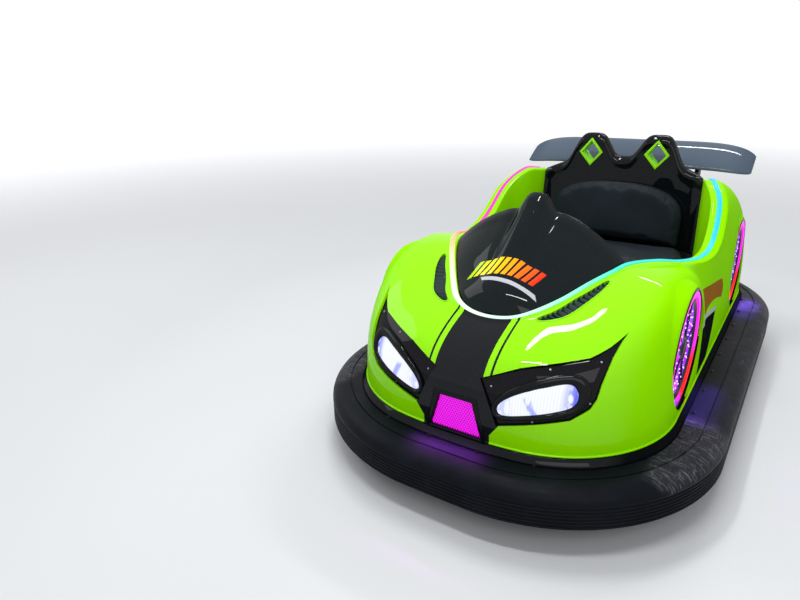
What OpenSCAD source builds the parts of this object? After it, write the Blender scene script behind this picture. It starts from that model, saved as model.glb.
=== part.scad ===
// Two-seat fairground bumper car with a sports-car body, battery driven.
// Axes: -Y is forward, +X is the driver's left, +Z is up. The origin is on the
// floor, under the middle of the bumper's outline. All sizes are in millimetres.

/* [Bumper and outline] */
// Length over the bumper
car_l = 2000; // [1900:10:2100]
// Width over the bumper
car_w = 1160; // [1120:5:1220]
// Radius of the bumper's four corners
corner_r = 500; // [440:5:520]
// Depth of the rubber section, from its outer face to the groove
rubber_d = 60; // [50:1:70]
// Height of the rubber section's lowest edge above the floor
rubber_low = 76; // [66:1:84]
// Height of the flat top of the bumper's flange above the floor
flange_top = 184; // [180:1:190]
// Thickness of the bumper's flange
flange_t = 18; // [12:1:20]
// Width of the flange, from the groove inward
flange_w = 74; // [68:1:84]
// Number of ribs round the bumper
rib_n = 6; // [4:1:8]
// Depth of each rib's groove
rib_d = 3; // [2:0.5:4]

/* [Body shell] */
// Gap between the bumper's outer face and the body's lower edge, at the sides
body_inset = 125; // [118:1:135]
// Gap between the bumper's outer face and the body's lower edge, at the ends
body_end_inset = 115; // [110:1:125]
// Radius of the body's front corners at its lower edge
body_front_r = 340; // [320:5:360]
// Radius of the body's rear corners at its lower edge
body_rear_r = 300; // [280:5:330]
// Radius of the shallow arc across the body's nose and tail
body_arc_r = 1300; // [1200:20:1500]
// Height of the body's lower edge above the floor
body_low = 205; // [203:1:210]
// Wall of the moulded body
body_wall = 7; // [5:0.5:9]
// Width of the light strip that runs round the rim
strip_w = 15; // [12:1:18]
// Height of the light strip above the rim
strip_h = 4; // [3:0.5:6]

/* [Cockpit and seat] */
// Thickness of the moulded cockpit tub
tub_t = 6; // [5:0.5:8]
// Height of the tub's flange, which carries the body's inner edge
tub_top = 400; // [390:1:405]
// Height of the seat board's top above the floor
seat_z = 380; // [376:1:388]
// Front edge of the seat board
seat_front_y = 20; // [0:5:40]
// Thickness of the seat cushion
cushion_t = 58; // [50:1:66]
// Thickness of the back cushion
back_t = 50; // [44:1:56]
// Distance of the seat shell's front face ahead of the cockpit rim's rear corner
seat_lead = 8; // [6:1:12]
// Thickness of the seat shell
shell_t = 62; // [54:1:66]
// Height of the two headrests
headrest_z = 817; // [800:1:830]
// Distance of each headrest from the middle
headrest_x = 124; // [120:1:130]
// Height of the diamond window in each headrest
diamond_h = 108; // [96:1:112]
// Width of the diamond window in each headrest
diamond_w = 92; // [80:1:96]
// Thickness of the diamond's lining
lining_t = 7; // [5:0.5:9]

/* [Lamps and grille] */
// Radius of each round side lamp
disc_r = 164; // [156:1:166]
// Place of the front side lamps, behind the middle
front_disc_y = -428; // [-436:1:-420]
// Place of the rear side lamps, behind the middle
rear_disc_y = 448; // [440:1:452]
// Height of the side lamps' centres
disc_z = 364; // [360:1:370]
// Depth of each side lamp's dish
disc_d = 26; // [22:1:30]
// Width of the light ring in each side lamp
ring_w = 12; // [9:1:14]
// Clearance round a piece that sits in an opening or on another piece
seat_gap = 0.3; // [0.2:0.1:0.6]

/* [Wing] */
// Length of the wing, tip to tip
wing_l = 868; // [820:2:880]
// Chord of the wing
wing_chord = 165; // [150:1:180]
// Thickness of the wing
wing_t = 38; // [32:1:44]
// Place of the wing's middle, behind the middle of the car
wing_y = 583; // [576:1:590]
// Height of the wing's middle
wing_z = 732; // [726:1:750]
// Upward tilt of the wing's rear edge, in degrees
wing_tilt = 30; // [24:1:32]

/* [Chassis and wheels] */
// Thickness of the steel floor plate
plate_t = 6; // [5:0.5:8]
// Radius of the driven front wheel
drive_r = 100; // [96:1:104]
// Width of the driven front wheel's tyre
drive_w = 52; // [46:1:56]
// Place of the front wheel's swivel axis
drive_y = -600; // [-615:5:-590]
// Radius of the rear wheels
rear_r = 90; // [86:1:94]
// Width of the rear wheels' tyres
rear_w = 46; // [40:1:50]
// Place of the rear axle
rear_y = 540; // [530:2:556]
// Distance of each rear wheel from the middle
rear_x = 320; // [310:2:326]
// Radial clearance of each axle and shaft in its bore
run_gap = 0.05; // [0.03:0.01:0.1]
// Radius of the lashing holes in the floor plate
lash_r = 8; // [6:0.5:10]

/* [Steering] */
// Radius of the steering wheel, to the middle of its rim
wheel_r = 138; // [130:1:144]
// Radius of the steering wheel's grip
grip_r = 13; // [11:0.5:15]
// Place of the steering wheel's centre, behind the middle of the car
wheel_y = -250; // [-256:1:-244]
// Height of the steering wheel's centre
wheel_z = 545; // [540:1:550]
// Tilt of the steering column from level, in degrees
column_tilt = 34; // [32:1:36]

/* [Hidden] */
$fn = 72;
half_w = car_w / 2;
half_l = car_l / 2;
body_hw = half_w - body_inset;
body_hl = half_l - body_end_inset;
plate_top = flange_top - flange_t - seat_gap;

// Outlines of three tangent arcs: a shallow end arc, a corner and a straight side

// Angle at which an end arc meets its corner
function meet(hw, r, arc) = asin((hw - r) / (arc - r));
// Distance of a corner's centre from the middle, along the car
function corner_y(hw, hl, r, arc) =
    hl - arc + sqrt(pow(arc - r, 2) - pow(hw - r, 2));
// Point of one end quarter: t from 0 at the middle to 1 at the corner's start,
// and on to 2 where the straight side begins
function end_point(hw, hl, r, arc, t) =
    let (m = meet(hw, r, arc))
    t <= 1
        ? [arc * sin(m * t), hl - arc + arc * cos(m * t)]
        : let (a = m + (90 - m) * (t - 1))
          [hw - r + r * sin(a), corner_y(hw, hl, r, arc) + r * cos(a)];

// Sweep of a profile round the bumper's outline, a rectangle with round corners.
// The profile is in (u, z), where u is the distance inward from the outline.
side_run = car_l - 2 * corner_r;
end_run = car_w - 2 * corner_r;

module sweep_round()
{
    for (side = [0, 1]) mirror([side, 0, 0]) {
        for (end = [0, 1]) mirror([0, end, 0])
            translate([end_run / 2, side_run / 2, 0]) rotate_extrude(angle = 90)
                translate([corner_r, 0]) mirror([1, 0]) children();
        translate([half_w, side_run / 2, 0]) rotate([90, 0, 0]) linear_extrude(height = side_run)
            mirror([1, 0]) children();
    }
    for (end = [0, 1]) mirror([0, end, 0])
        translate([-end_run / 2, half_l, 0]) rotate([90, 0, 90])
            linear_extrude(height = end_run) mirror([1, 0]) children();
}

// Plate of the bumper's outline, moved inward by a distance
module outline_plate(inset, height)
{
    r = corner_r - inset;
    for (side = [0, 1], end = [0, 1]) mirror([side, 0, 0]) mirror([0, end, 0])
        translate([end_run / 2, side_run / 2, 0]) rotate_extrude(angle = 90)
            square([r, height]);
    translate([-half_w + inset, -side_run / 2, 0])
        cube([car_w - 2 * inset, side_run, height]);
    for (end = [0, 1]) mirror([0, end, 0])
        translate([-end_run / 2, side_run / 2, 0]) cube([end_run, r, height]);
}

// Chassis

module plate_cuts()
{
    translate([0, drive_y]) circle(r = drive_hole_r);
    for (side = [-1, 1]) translate([side * rear_x, rear_y])
        square([rear_w + 2 * wheel_clear, rear_slot_l], center = true);
    for (side = [-1, 1], end = [-1, 1])
        translate([side * lash_x, end * lash_y]) circle(r = lash_r);
}

lash_x = 400;
lash_y = 380;
jack_pad = [120, 80, 5];
jack_pad_y = 100;
wheel_clear = 10;
drive_hole_r = sqrt(pow(drive_r, 2) - pow(plate_top - plate_t - drive_r, 2)) + 12;
rear_slot_l = 2 * sqrt(pow(rear_r, 2) - pow(plate_top - plate_t - rear_r, 2)) + 24;
band_h = plate_top - plate_t - rubber_low - 8;

module floor_plate()
{
    color("dimgray") union() {
        translate([0, 0, plate_top - plate_t]) difference() {
            outline_plate(rubber_d + seat_gap, plate_t);
            translate([0, 0, -1]) linear_extrude(height = plate_t + 2) plate_cuts();
        }
        translate([-jack_pad[0] / 2, jack_pad_y - jack_pad[1] / 2, plate_top - plate_t - jack_pad[2]])
            cube([jack_pad[0], jack_pad[1], jack_pad[2] + 1]);
        sweep_round() translate([rubber_d + seat_gap, plate_top - plate_t - band_h])
            square([plate_t, band_h + 1]);
    }
}

// Rubber bumper: ribbed outer band, round shoulder, groove and flat bolted flange
rib_low = rubber_low + 12;
rib_high = 146;
shoulder_n = 6;
groove_w = 5;
groove_d = 4;

function rib_points() =
    let (pitch = (rib_high - rib_low) / rib_n)
    [for (i = [0:rib_n - 1], k = [0:3])
        [k == 1 || k == 2 ? rib_d : 0, rib_low + pitch * (i + [0.3, 0.42, 0.88, 1][k])]];

function shoulder_points() =
    [for (i = [1:shoulder_n])
        let (a = 90 * i / shoulder_n)
        [(rubber_d - groove_w) * (1 - cos(a)), rib_high + (flange_top - rib_high) * sin(a)]];

module bumper_profile()
{
    polygon(concat(
        [[rubber_d, rubber_low], [14, rubber_low], [0, rib_low]],
        rib_points(),
        shoulder_points(),
        [[rubber_d - groove_w, flange_top - groove_d], [rubber_d, flange_top - groove_d],
         [rubber_d, flange_top], [rubber_d + flange_w, flange_top],
         [rubber_d + flange_w, flange_top - flange_t], [rubber_d, flange_top - flange_t]]));
}

module bumper_ring()
{
    color("#1d1d1f") sweep_round() bumper_profile();
}

// Body shell. Each station is a cross-section from the lower edge up to the rim.
// Columns: place round the outline from 0 at the nose to 5 at the tail; rise and
// bulge of the lower handle; reach and drop of the upper handle; x, y and z of
// the rim line; width of the rim's roll; height where the inner wall ends.
STATION = 0; RISE = 1; BULGE = 2; REACH = 3; DROP = 4; RIM = 5; ROLL = 8; LOW = 9;
shell_table = [
    [0.00, 160, 16, 160,  52,   0, -722, 470, 24, 452],
    [0.60, 160, 16, 163,  54,  62, -712, 475, 24, 457],
    [1.15, 185, 12, 185,  56, 112, -683, 491, 24, 473],
    [1.40, 215,  6, 215,  50, 160, -617, 512, 24, 494],
    [1.65, 262, -8, 205,  30, 205, -545, 541, 24, 523],
    [1.90, 305, -6, 190,   6, 243, -478, 561, 26, 543],
    [2.10, 322,  0, 168,   2, 272, -418, 572, 34, 400],
    [2.24, 285,  0, 116,   6, 318, -300, 556, 44, 400],
    [2.37, 105,  0,  45,  60, 358, -170, 526, 52, 400],
    [2.485, 75,  0,   8, 130, 392,  -30, 510, 52, 400],
    [2.60,  75,  0,   5, 150, 401,   80, 540, 52, 400],
    [2.75, 230,  0,  60,  60, 388,  200, 632, 52, 400],
    [2.89, 300,  4, 108,  45, 350,  295, 682, 50, 400],
    [3.10, 290,  4, 180,  60, 324,  380, 676, 40, 400],
    [3.40, 250,  4, 230,  90, 302,  456, 664, 24, 646],
    [3.75, 240,  4, 280, 110, 235,  484, 655, 24, 637],
    [4.40, 235,  4, 300, 115, 100,  484, 650, 24, 632],
    [5.00, 235,  4, 300, 115,   0,  484, 648, 24, 630]];
column_steps = 3;
side_steps = 8;
station_n = len(shell_table) - 1;
half_n = station_n * column_steps;
ring_n = 2 * half_n;

// Smooth curve through a column of the table, and straight lines for its steps
function catmull(a, b, c, d, t) =
    0.5 * (2 * b + (c - a) * t + (2 * a - 5 * b + 4 * c - d) * t * t
           + (3 * b - a - 3 * c + d) * t * t * t);
function mirrored(k, col) =
    let (inside = k < 0 ? -k : k > station_n ? 2 * station_n - k : k,
         v = shell_table[inside][col])
    k == inside || (col != RIM && col != STATION) ? v
        : col == RIM ? -v
        : k < 0 ? -v : 10 - v;
function smooth(i, col) =
    let (k = min(floor(i / column_steps), station_n - 1), t = i / column_steps - k)
    catmull(mirrored(k - 1, col), mirrored(k, col), mirrored(k + 1, col),
            mirrored(k + 2, col), t);
function straight(i, col) =
    let (k = min(floor(i / column_steps), station_n - 1), t = i / column_steps - k)
    shell_table[k][col] * (1 - t) + shell_table[k + 1][col] * t;

// Body's lower edge at a place from 0 to 5, moved outward by a distance
function base_point(s, out = 0) =
    s <= 2 ? let (p = end_point(body_hw + out, body_hl + out, body_front_r + out,
                                body_arc_r + out, s)) [p[0], -p[1]]
    : s >= 3 ? end_point(body_hw + out, body_hl + out, body_rear_r + out,
                         body_arc_r + out, 5 - s)
    : let (y0 = -corner_y(body_hw, body_hl, body_front_r, body_arc_r),
           y1 = corner_y(body_hw, body_hl, body_rear_r, body_arc_r))
      [body_hw + out, y0 + (y1 - y0) * (s - 2)];

function unit(v) = v / norm(v);
// The rim keeps its place within the outline when the car's length or width changes
rim_x_share = body_hw / 455;
rim_y_share = body_hl / 885;
function rim_at(i) =
    [smooth(i, RIM) * rim_x_share, smooth(i, RIM + 1) * rim_y_share, smooth(i, RIM + 2)];
function rim_inward(i) =
    let (d = i <= 0 ? [1, 0] : i >= half_n ? [-1, 0]
             : let (a = rim_at(i - 0.5), b = rim_at(i + 0.5)) [b[0] - a[0], b[1] - a[1]])
    unit([-d[1], d[0]]);
function flat(p, z) = [p[0], p[1], z];
function rim_side(i, share) =
    let (p = rim_at(i), n = rim_inward(i), w = straight(i, ROLL) * share)
    [p[0] + n[0] * w, p[1] + n[1] * w];

function bezier(a, b, c, d, t) =
    a * pow(1 - t, 3) + 3 * b * t * pow(1 - t, 2) + 3 * c * t * t * (1 - t) + d * pow(t, 3);

// Outer skin of column i of the right half: up the side, over the rim's roll and
// down the inner wall
function skin_column(i) =
    let (s = smooth(i, STATION),
         base = base_point(s),
         outward = unit(base_point(s, 1) - base),
         rim = rim_at(i),
         edge = flat(rim_side(i, -0.5), rim[2] - 4),
         away = unit([base[0] - edge[0], base[1] - edge[1]]),
         low = flat(base, body_low),
         handle_a = flat(base + outward * smooth(i, BULGE), body_low + smooth(i, RISE)),
         handle_b = flat([edge[0], edge[1]] + away * smooth(i, REACH),
                         rim[2] - smooth(i, DROP)))
    concat(
        [for (j = [0:side_steps]) bezier(low, handle_a, handle_b, edge, j / side_steps)],
        [flat(rim_side(i, -0.25), rim[2]), flat(rim_side(i, 0.25), rim[2]),
         flat(rim_side(i, 0.5), rim[2] - 5), flat(rim_side(i, 0.56), straight(i, LOW))]);

skin_half = [for (i = [0:half_n]) skin_column(i)];
// Columns all the way round: the right half, then the left half back to the nose
skin = [for (i = [0:ring_n - 1])
    i <= half_n ? skin_half[i]
        : [for (p = skin_half[ring_n - i]) [-p[0], p[1], p[2]]]];
skin_m = len(skin[0]);

function skin_normal(grid, i, j) =
    let (n = len(grid), m = len(grid[0]),
         along = grid[(i + 1) % n][j] - grid[(i + n - 1) % n][j],
         up = grid[i][min(j + 1, m - 1)] - grid[i][max(j - 1, 0)])
    unit(cross(along, up));

// Closed ring of loops, all with as many points
module loop_ring(loops)
{
    n = len(loops);
    m = len(loops[0]);
    polyhedron(
        points = [for (loop = loops) for (p = loop) p],
        faces = [for (i = [0:n - 1], j = [0:m - 1])
            let (a = i * m + j, b = i * m + (j + 1) % m,
                 c = ((i + 1) % n) * m + (j + 1) % m, d = ((i + 1) % n) * m + j)
            each [[a, b, c], [a, c, d]]]);
}

// Closed loft of loops, with flat ends. Turned is for loops that run the other way.
module loop_loft(loops, turned = false)
{
    n = len(loops);
    m = len(loops[0]);
    faces = concat(
        [for (i = [0:n - 2], j = [0:m - 1])
            let (a = i * m + j, b = i * m + (j + 1) % m,
                 c = (i + 1) * m + (j + 1) % m, d = (i + 1) * m + j)
            each [[a, b, c], [a, c, d]]],
        end_cap(m, 0, true),
        end_cap(m, (n - 1) * m, false));
    polyhedron(
        points = [for (loop = loops) for (p = loop) p],
        faces = [for (f = faces) turned ? [f[2], f[1], f[0]] : f]);
}
// Faces of a loop's end, in strips from one side of the loop to the other
function end_cap(m, base, flip) =
    [for (j = [0:ceil(m / 2) - 2])
        let (a = base + j, b = base + j + 1, c = base + m - 2 - j, d = base + m - 1 - j)
        each [for (f = b == c ? [[a, b, d]] : [[a, b, c], [a, c, d]])
            flip ? [f[2], f[1], f[0]] : f]];

module shell_solid(wall)
{
    loop_ring([for (i = [0:ring_n - 1])
        concat(skin[i],
            [for (j = [skin_m - 1:-1:0]) skin[i][j] - wall * skin_normal(skin, i, j)])]);
}

module body_shell()
{
    color("#8fdc14") difference() {
        shell_solid(body_wall);
        for (side = [-1, 1], y = [front_disc_y, rear_disc_y])
            translate([side * (body_hw - 60), y, disc_z]) rotate([0, side * 90, 0])
                cylinder(r = disc_r + seat_gap, h = 120);
        for (side = [-1, 1]) on_side(side) {
            eye_prism(eye_points, 0);
            strut_prism(seat_gap);
        }
        translate([0, grille_y + grille_depth, 0]) rotate([90, 0, 0])
            linear_extrude(height = 5 * grille_depth) grille_shape(grille_rim + seat_gap);
        for (side = [-1, 1]) on_side(side) tail_prism(seat_gap);
    }
}

// Gloss black moulding under the body's lower edge, which stands on the flange
skirt_out = 17;
skirt_in = 12;
skirt_n = 16;
skirt_top = body_low - 0.9;
function skirt_loop(s) =
    let (p = base_point(s), out = unit(base_point(s, 1) - p), z0 = flange_top + seat_gap)
    [flat(p + out * skirt_out, z0), flat(p + out * skirt_out, z0 + 6),
     flat(p + out * 3, skirt_top), flat(p - out * skirt_in, skirt_top),
     flat(p - out * skirt_in, z0)];

module base_skirt()
{
    half = [for (k = [0:skirt_n * 5]) skirt_loop(k / skirt_n)];
    n = len(half) - 1;
    color("#0c0d0f") loop_ring([for (k = [0:2 * n - 1])
        k <= n ? half[k] : [for (p = half[2 * n - k]) [-p[0], p[1], p[2]]]]);
}

// Light strip along the rim, open behind the seat
strip_end = 13 * column_steps;
strip_gap = 0.95;
function strip_loop(i, side) =
    let (p = rim_at(i), n = rim_inward(i), z = p[2] + strip_gap, w = strip_w / 2)
    [for (c = [[-w, 0], [w, 0], [w * 0.6, strip_h], [-w * 0.6, strip_h]])
        [side * (p[0] + n[0] * c[0]), p[1] + n[1] * c[0], z + c[1]]];

module rim_light()
{
    color("#7ff0e0") loop_loft(concat(
        [for (i = [strip_end:-1:1]) strip_loop(i, 1)],
        [for (i = [0:strip_end]) strip_loop(i, -1)]));
}

// Cockpit tub: floor, wall and a flange on which the body's inner wall stands
tub_first = 6 * column_steps;
tub_last = 13 * column_steps;
shell_front_y = rim_at(tub_last)[1] - seat_lead;
mat = [400, 300, 3];
mat_rear_y = -10;
function tub_edge(share) =
    [for (i = [tub_first:tub_last]) rim_side(i, share)];
function both_sides(points) =
    let (n = len(points))
    concat(points, [for (k = [n - 1:-1:0]) [-points[k][0], points[k][1]]]);

module cockpit_tub()
{
    color("#15161a") {
        translate([0, 0, plate_top + seat_gap]) linear_extrude(height = tub_t)
            polygon(both_sides(tub_edge(0.9)));
        translate([0, 0, plate_top + seat_gap])
            linear_extrude(height = tub_top - seat_gap - plate_top - seat_gap) difference() {
                polygon(both_sides(tub_edge(0.9)));
                tub_inside(0);
            }
        translate([0, 0, tub_top - seat_gap - tub_t]) linear_extrude(height = tub_t) difference() {
            union() {
                polygon(both_sides(tub_edge(0.3)));
                translate([-shell_half_w, shell_front_y - shelf_lip])
                    square([2 * shell_half_w, shell_t + 2 * shelf_lip]);
            }
            polygon(both_sides(tub_edge(0.92)));
        }
        translate([-mat[0] / 2, mat_rear_y - mat[1], plate_top + seat_gap]) cube([mat[0], mat[1], tub_t + mat[2]]);
    }
}
// Plan of the tub's inside, less a clearance
module tub_inside(gap)
{
    polygon(both_sides([for (p = tub_edge(0.9))
        [p[0] - tub_t - gap, p[1] + (p[1] < 0 ? tub_t + gap : -tub_t - gap)]]));
}
shelf_lip = 12;

// Cowl over the instruments, with a high ridge and a lobe on each side. Its rows
// lie at the body's own columns, so its edge follows the body's rim.
cowl_last = 18;
cowl_cols = 12;
cowl_t = 7;
ridge_h = 46;
ridge_w = 44;
crown_h = 122;
function cowl_edge(i) =
    let (p = rim_at(i), n = rim_inward(i), w = straight(i, ROLL) * 0.56 + 2 * seat_gap)
    [p[0] + n[0] * w, p[1] + n[1] * w, p[2]];
function cowl_point(i, s, lower) =
    let (t = i / cowl_last, e = cowl_edge(i), x = e[0] * s,
         crown = crown_h * pow(t, 1.15) * (1 - pow(abs(s), 2.2)),
         ridge = ridge_h * smoothstep((t - 0.35) / 0.65) * exp(-pow(x / ridge_w, 4)))
    [x, e[1], e[2] + crown + ridge - lower];
function smoothstep(x) = let (c = max(0, min(1, x))) c * c * (3 - 2 * c);

module grid_slab(top, bottom)
{
    n = len(top);
    m = len(top[0]);
    base = n * m;
    polyhedron(
        points = concat([for (row = top) for (p = row) p], [for (row = bottom) for (p = row) p]),
        faces = concat(
            [for (i = [0:n - 2], j = [0:m - 2])
                let (a = i * m + j, b = a + 1, c = a + m + 1, d = a + m)
                each [[a, c, b], [a, d, c], [base + a, base + b, base + c],
                      [base + a, base + c, base + d]]],
            [for (j = [0:m - 2])
                let (a = j, b = j + 1, c = (n - 1) * m + j, d = c + 1)
                each [[a, b, base + b], [a, base + b, base + a],
                      [c, base + d, d], [c, base + c, base + d]]],
            [for (i = [0:n - 2])
                let (a = i * m, d = a + m, b = a + m - 1, c = b + m)
                each [[a, base + a, base + d], [a, base + d, d],
                      [b, base + c, base + b], [b, c, base + c]]]));
}

module cowl()
{
    top = [for (i = [1:cowl_last])
        [for (c = [-cowl_cols:cowl_cols]) cowl_point(i, c / cowl_cols, 0)]];
    low = [for (i = [1:cowl_last])
        [for (c = [-cowl_cols:cowl_cols]) cowl_point(i, c / cowl_cols, cowl_t)]];
    color("#101114") grid_slab(top, low);
}

// Dash panel that closes the cockpit under the cowl's rear edge
dash_t = 8;
dash_side_gap = 6;
module dash_panel()
{
    y = cowl_edge(cowl_last)[1];
    narrow = 1 - dash_side_gap / cowl_edge(cowl_last)[0];
    points = [for (c = [-cowl_cols:cowl_cols])
        let (p = cowl_point(cowl_last - 0.45, c / cowl_cols, cowl_t + 2 * seat_gap),
             q = cowl_point(cowl_last, c / cowl_cols, 0)) [q[0] * narrow, p[2]]];
    color("#15161a") difference() {
        translate([0, y, 0]) rotate([90, 0, 0]) linear_extrude(height = dash_t)
            polygon(concat(points, [[points[2 * cowl_cols][0], tub_top + seat_gap],
                                    [points[0][0], tub_top + seat_gap]]));
        along_column(-column_l) cylinder(r = column_r + seat_gap, h = column_l);
    }
}

// Seat
board_t = 8;
module seat_board()
{
    z0 = plate_top + 2 * seat_gap + tub_t;
    t = board_t;
    color("#15161a") intersection() {
        translate([-half_w, 0, 0]) rotate([90, 0, 90]) linear_extrude(height = car_w)
            polygon([[seat_front_y, z0], [seat_front_y, seat_z], [shell_front_y, seat_z],
                     [shell_front_y, seat_z - t], [seat_front_y + t, seat_z - t],
                     [seat_front_y + t, z0]]);
        linear_extrude(height = 2 * seat_z) tub_inside(seat_gap);
    }
}

cushion_half_w = 325;
back_half_w = 255;
back_low = 100;
back_crown = 142;
module seat_cushion()
{
    y0 = seat_front_y + 4;
    y1 = shell_front_y - back_t - 16;
    color("#1b1c1f") translate([0, 0, seat_z + seat_gap]) linear_extrude(height = cushion_t)
        polygon(both_sides([[cushion_half_w, y0], [cushion_half_w, y0 + 150], [284, y1]]));
}

module back_cushion()
{
    color("#1b1c1f") translate([0, shell_front(0, seat_z + 30) - 2 * seat_gap, seat_z + 30])
        rotate([90 - atan(shell_lean), 0, 0])
        linear_extrude(height = back_t) polygon(concat(
            [[-back_half_w, 0], [back_half_w, 0]],
            [for (a = [0:10:180]) [back_half_w * bent(cos(a)), back_low + back_crown * bent(sin(a))]]));
}
// Power that makes a circle's arc fuller, towards a rounded rectangle
function bent(v) = sign(v) * pow(abs(v), 0.8);

// Seat shell with two headrests and a diamond window in each
shell_cols = 20;
shell_half_w = 296;
shell_lean = 0.13;
shell_base_z = 734;
shell_fall = 60;
headrest_w = 74;
function shell_height(x) =
    let (base = shell_base_z - shell_fall * pow(abs(x) / shell_half_w, 2.4))
    base + (headrest_z - base) * exp(-pow((abs(x) - headrest_x) / headrest_w, 4));
function shell_front(x, z) =
    shell_front_y + shell_lean * (z - tub_top)
    - 12 * pow(max(0, abs(x) - 256) / (shell_half_w - 256), 2);
function shell_depth(x) = shell_t * (1 - 0.55 * pow(max(0, abs(x) - 220) / (shell_half_w - 220), 2));
function seat_shell_loop(x) =
    let (h = shell_height(x), z0 = tub_top + seat_gap, r = shell_depth(x) / 2)
    concat(
        [for (k = [0:4]) let (z = z0 + (h - r - z0) * k / 4) [x, shell_front(x, z), z]],
        [for (a = [30:30:150])
            let (z = h - r) [x, shell_front(x, z) + r - r * cos(a), z + r * sin(a)]],
        [for (k = [4:-1:0]) let (z = z0 + (h - r - z0) * k / 4)
            [x, shell_front(x, z) + 2 * r, z]]);

module diamond(w, h)
{
    polygon([[0, -h / 2], [w / 2, 0], [0, h / 2], [-w / 2, 0]]);
}

module diamond_prism(grow, y0, y1)
{
    for (side = [-1, 1]) translate([side * headrest_x, y1, headrest_z - 17 - diamond_h / 2])
        rotate([90, 0, 0]) linear_extrude(height = y1 - y0)
            diamond(diamond_w + 2 * grow, diamond_h + 2 * grow);
}

module seat_shell()
{
    color("#0e0f12") difference() {
        loop_loft([for (k = [-shell_cols:shell_cols])
            seat_shell_loop(shell_half_w * k / shell_cols)]);
        diamond_prism(0, 300, 600);
    }
}

module headrest_linings()
{
    y = shell_front(headrest_x, headrest_z - 70);
    color("#8fdc14") difference() {
        diamond_prism(-seat_gap, y - 2, y + shell_t + 2);
        diamond_prism(-lining_t - seat_gap, y - 20, y + shell_t + 20);
    }
}

// Wing
wing_stations = 10;
function wing_section(x) =
    let (u = abs(x) / (wing_l / 2), k = sqrt(max(0.02, 1 - pow(u, 8))), drop = 26 * pow(u, 6))
    [for (a = [0:30:330])
        let (c = cos(a) * wing_chord / 2 * (0.55 + 0.45 * k), h = sin(a) * wing_t / 2 * k)
        [x, wing_y + c * cos(wing_tilt) - h * sin(wing_tilt),
         wing_z + c * sin(wing_tilt) + h * cos(wing_tilt) - drop]];

module rear_wing()
{
    color("#5c6470") difference() {
        loop_loft([for (k = [wing_stations:-1:-wing_stations])
            wing_section(wing_l / 2 * sin(90 * k / wing_stations))]);
        for (side = [-1, 1]) on_side(side) strut_prism(seat_gap);
    }
}

// Struts of the wing, whose feet pass through slots in the body
strut_x = 250;
strut_t = 14;
strut_foot_y = [526, 590];
strut_foot_z = 612;
strut_grip = 34;
module strut_prism(grow)
{
    y = wing_y;
    z = wing_z + 4;
    rise = strut_grip * tan(wing_tilt);
    translate([strut_x - strut_t / 2 - grow, 0, 0]) rotate([90, 0, 90])
        linear_extrude(height = strut_t + 2 * grow) offset(delta = grow)
            polygon([[strut_foot_y[0], strut_foot_z], [strut_foot_y[1], strut_foot_z],
                     [strut_foot_y[1], strut_foot_z + 44], [y + strut_grip, z + rise - 14],
                     [y - strut_grip, z - rise - 14], [strut_foot_y[0], strut_foot_z + 44]]);
}

module wing_struts()
{
    color("#15161a") for (side = [-1, 1]) on_side(side) strut_prism(0);
}

// Batteries under the seat
battery = [260, 168, 190];
module batteries()
{
    color("#3a3d42") for (side = [-1, 1])
        translate([side * 150 - battery[0] / 2, 120, plate_top + 2 * seat_gap + tub_t])
            cube(battery);
}

// Headlights: a black moulding behind an opening of the body, with a raised rim
// round the lens. All follow the body's skin. The outlines are in the eye's own
// plane, x toward the outside of the car and y upward.
eye_place = [body_hw - 250, -body_hl + 43, 330];
eye_turn = 28;
eye_lean = 20;
eye_reach = 65;
eye_first = 1;
eye_last = 14;
pod_t = 6;
pod_gap = 0.7;
pod_lap = 9;
bezel_out = 3;
lens_in = -1;
eye_points = [
    [-142, 56], [-95, 71], [-49, 86], [-3, 94], [42, 101], [111, 114], [134, 125],
    [158, 138], [182, 155], [207, 174], [186, 147], [165, 116], [150, 86], [136, 54],
    [125, 19], [110, -4], [66, -32], [-1, -45], [-102, -61]];
bezel_points = [
    [-114, -9], [-101, -41], [-30, -39], [44, -27], [95, -1], [113, 31], [103, 65],
    [66, 79], [-12, 63], [-83, 29]];
lens_points = [
    [-103, -14], [-92, -32], [-40, -28], [30, -14], [72, 2], [84, 28], [66, 54], [7, 44],
    [-49, 26], [-87, 6]];
function closed_curve(points, steps) =
    let (n = len(points))
    [for (k = [0:n - 1], t = [0:steps - 1])
        catmull(points[(k + n - 1) % n], points[k], points[(k + 1) % n],
                points[(k + 2) % n], t / steps)];

module eye_prism(points, grow)
{
    translate(eye_place) rotate([90 - eye_lean, 0, eye_turn]) translate([0, 0, -eye_reach])
        linear_extrude(height = 3 * eye_reach) offset(delta = grow, chamfer = true)
            polygon(points);
}

// Layer of the body's skin between two depths, from one column to another. Behind
// the wall, its facets are split as the wall's own inner facets are.
module skin_patch(first, last, top, bottom)
{
    behind = top > 0;
    a = behind ? bottom : top;
    b = behind ? top : bottom;
    loop_loft([for (i = [first:last])
        concat([for (j = [0:side_steps]) skin[i][j] - a * skin_normal(skin, i, j)],
               [for (j = [side_steps:-1:0]) skin[i][j] - b * skin_normal(skin, i, j)])], behind);
}

module on_side(side)
{
    mirror([side < 0 ? 1 : 0, 0, 0]) children();
}

module headlight(side)
{
    pod_top = body_wall + pod_gap;
    color("#101114") on_side(side) {
        intersection() {
            skin_patch(eye_first, eye_last, pod_top, pod_top + pod_t);
            eye_prism(eye_points, pod_lap);
        }
        difference() {
            intersection() {
                skin_patch(eye_first, eye_last, -bezel_out, pod_top + 1);
                eye_prism(closed_curve(bezel_points, 3), 0);
            }
            eye_prism(closed_curve(lens_points, 3), 0);
        }
    }
}

module lens(side)
{
    color("#f4f6ff") on_side(side) intersection() {
        skin_patch(eye_first, eye_last, lens_in, body_wall);
        eye_prism(closed_curve(lens_points, 3), -seat_gap);
    }
}

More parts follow.
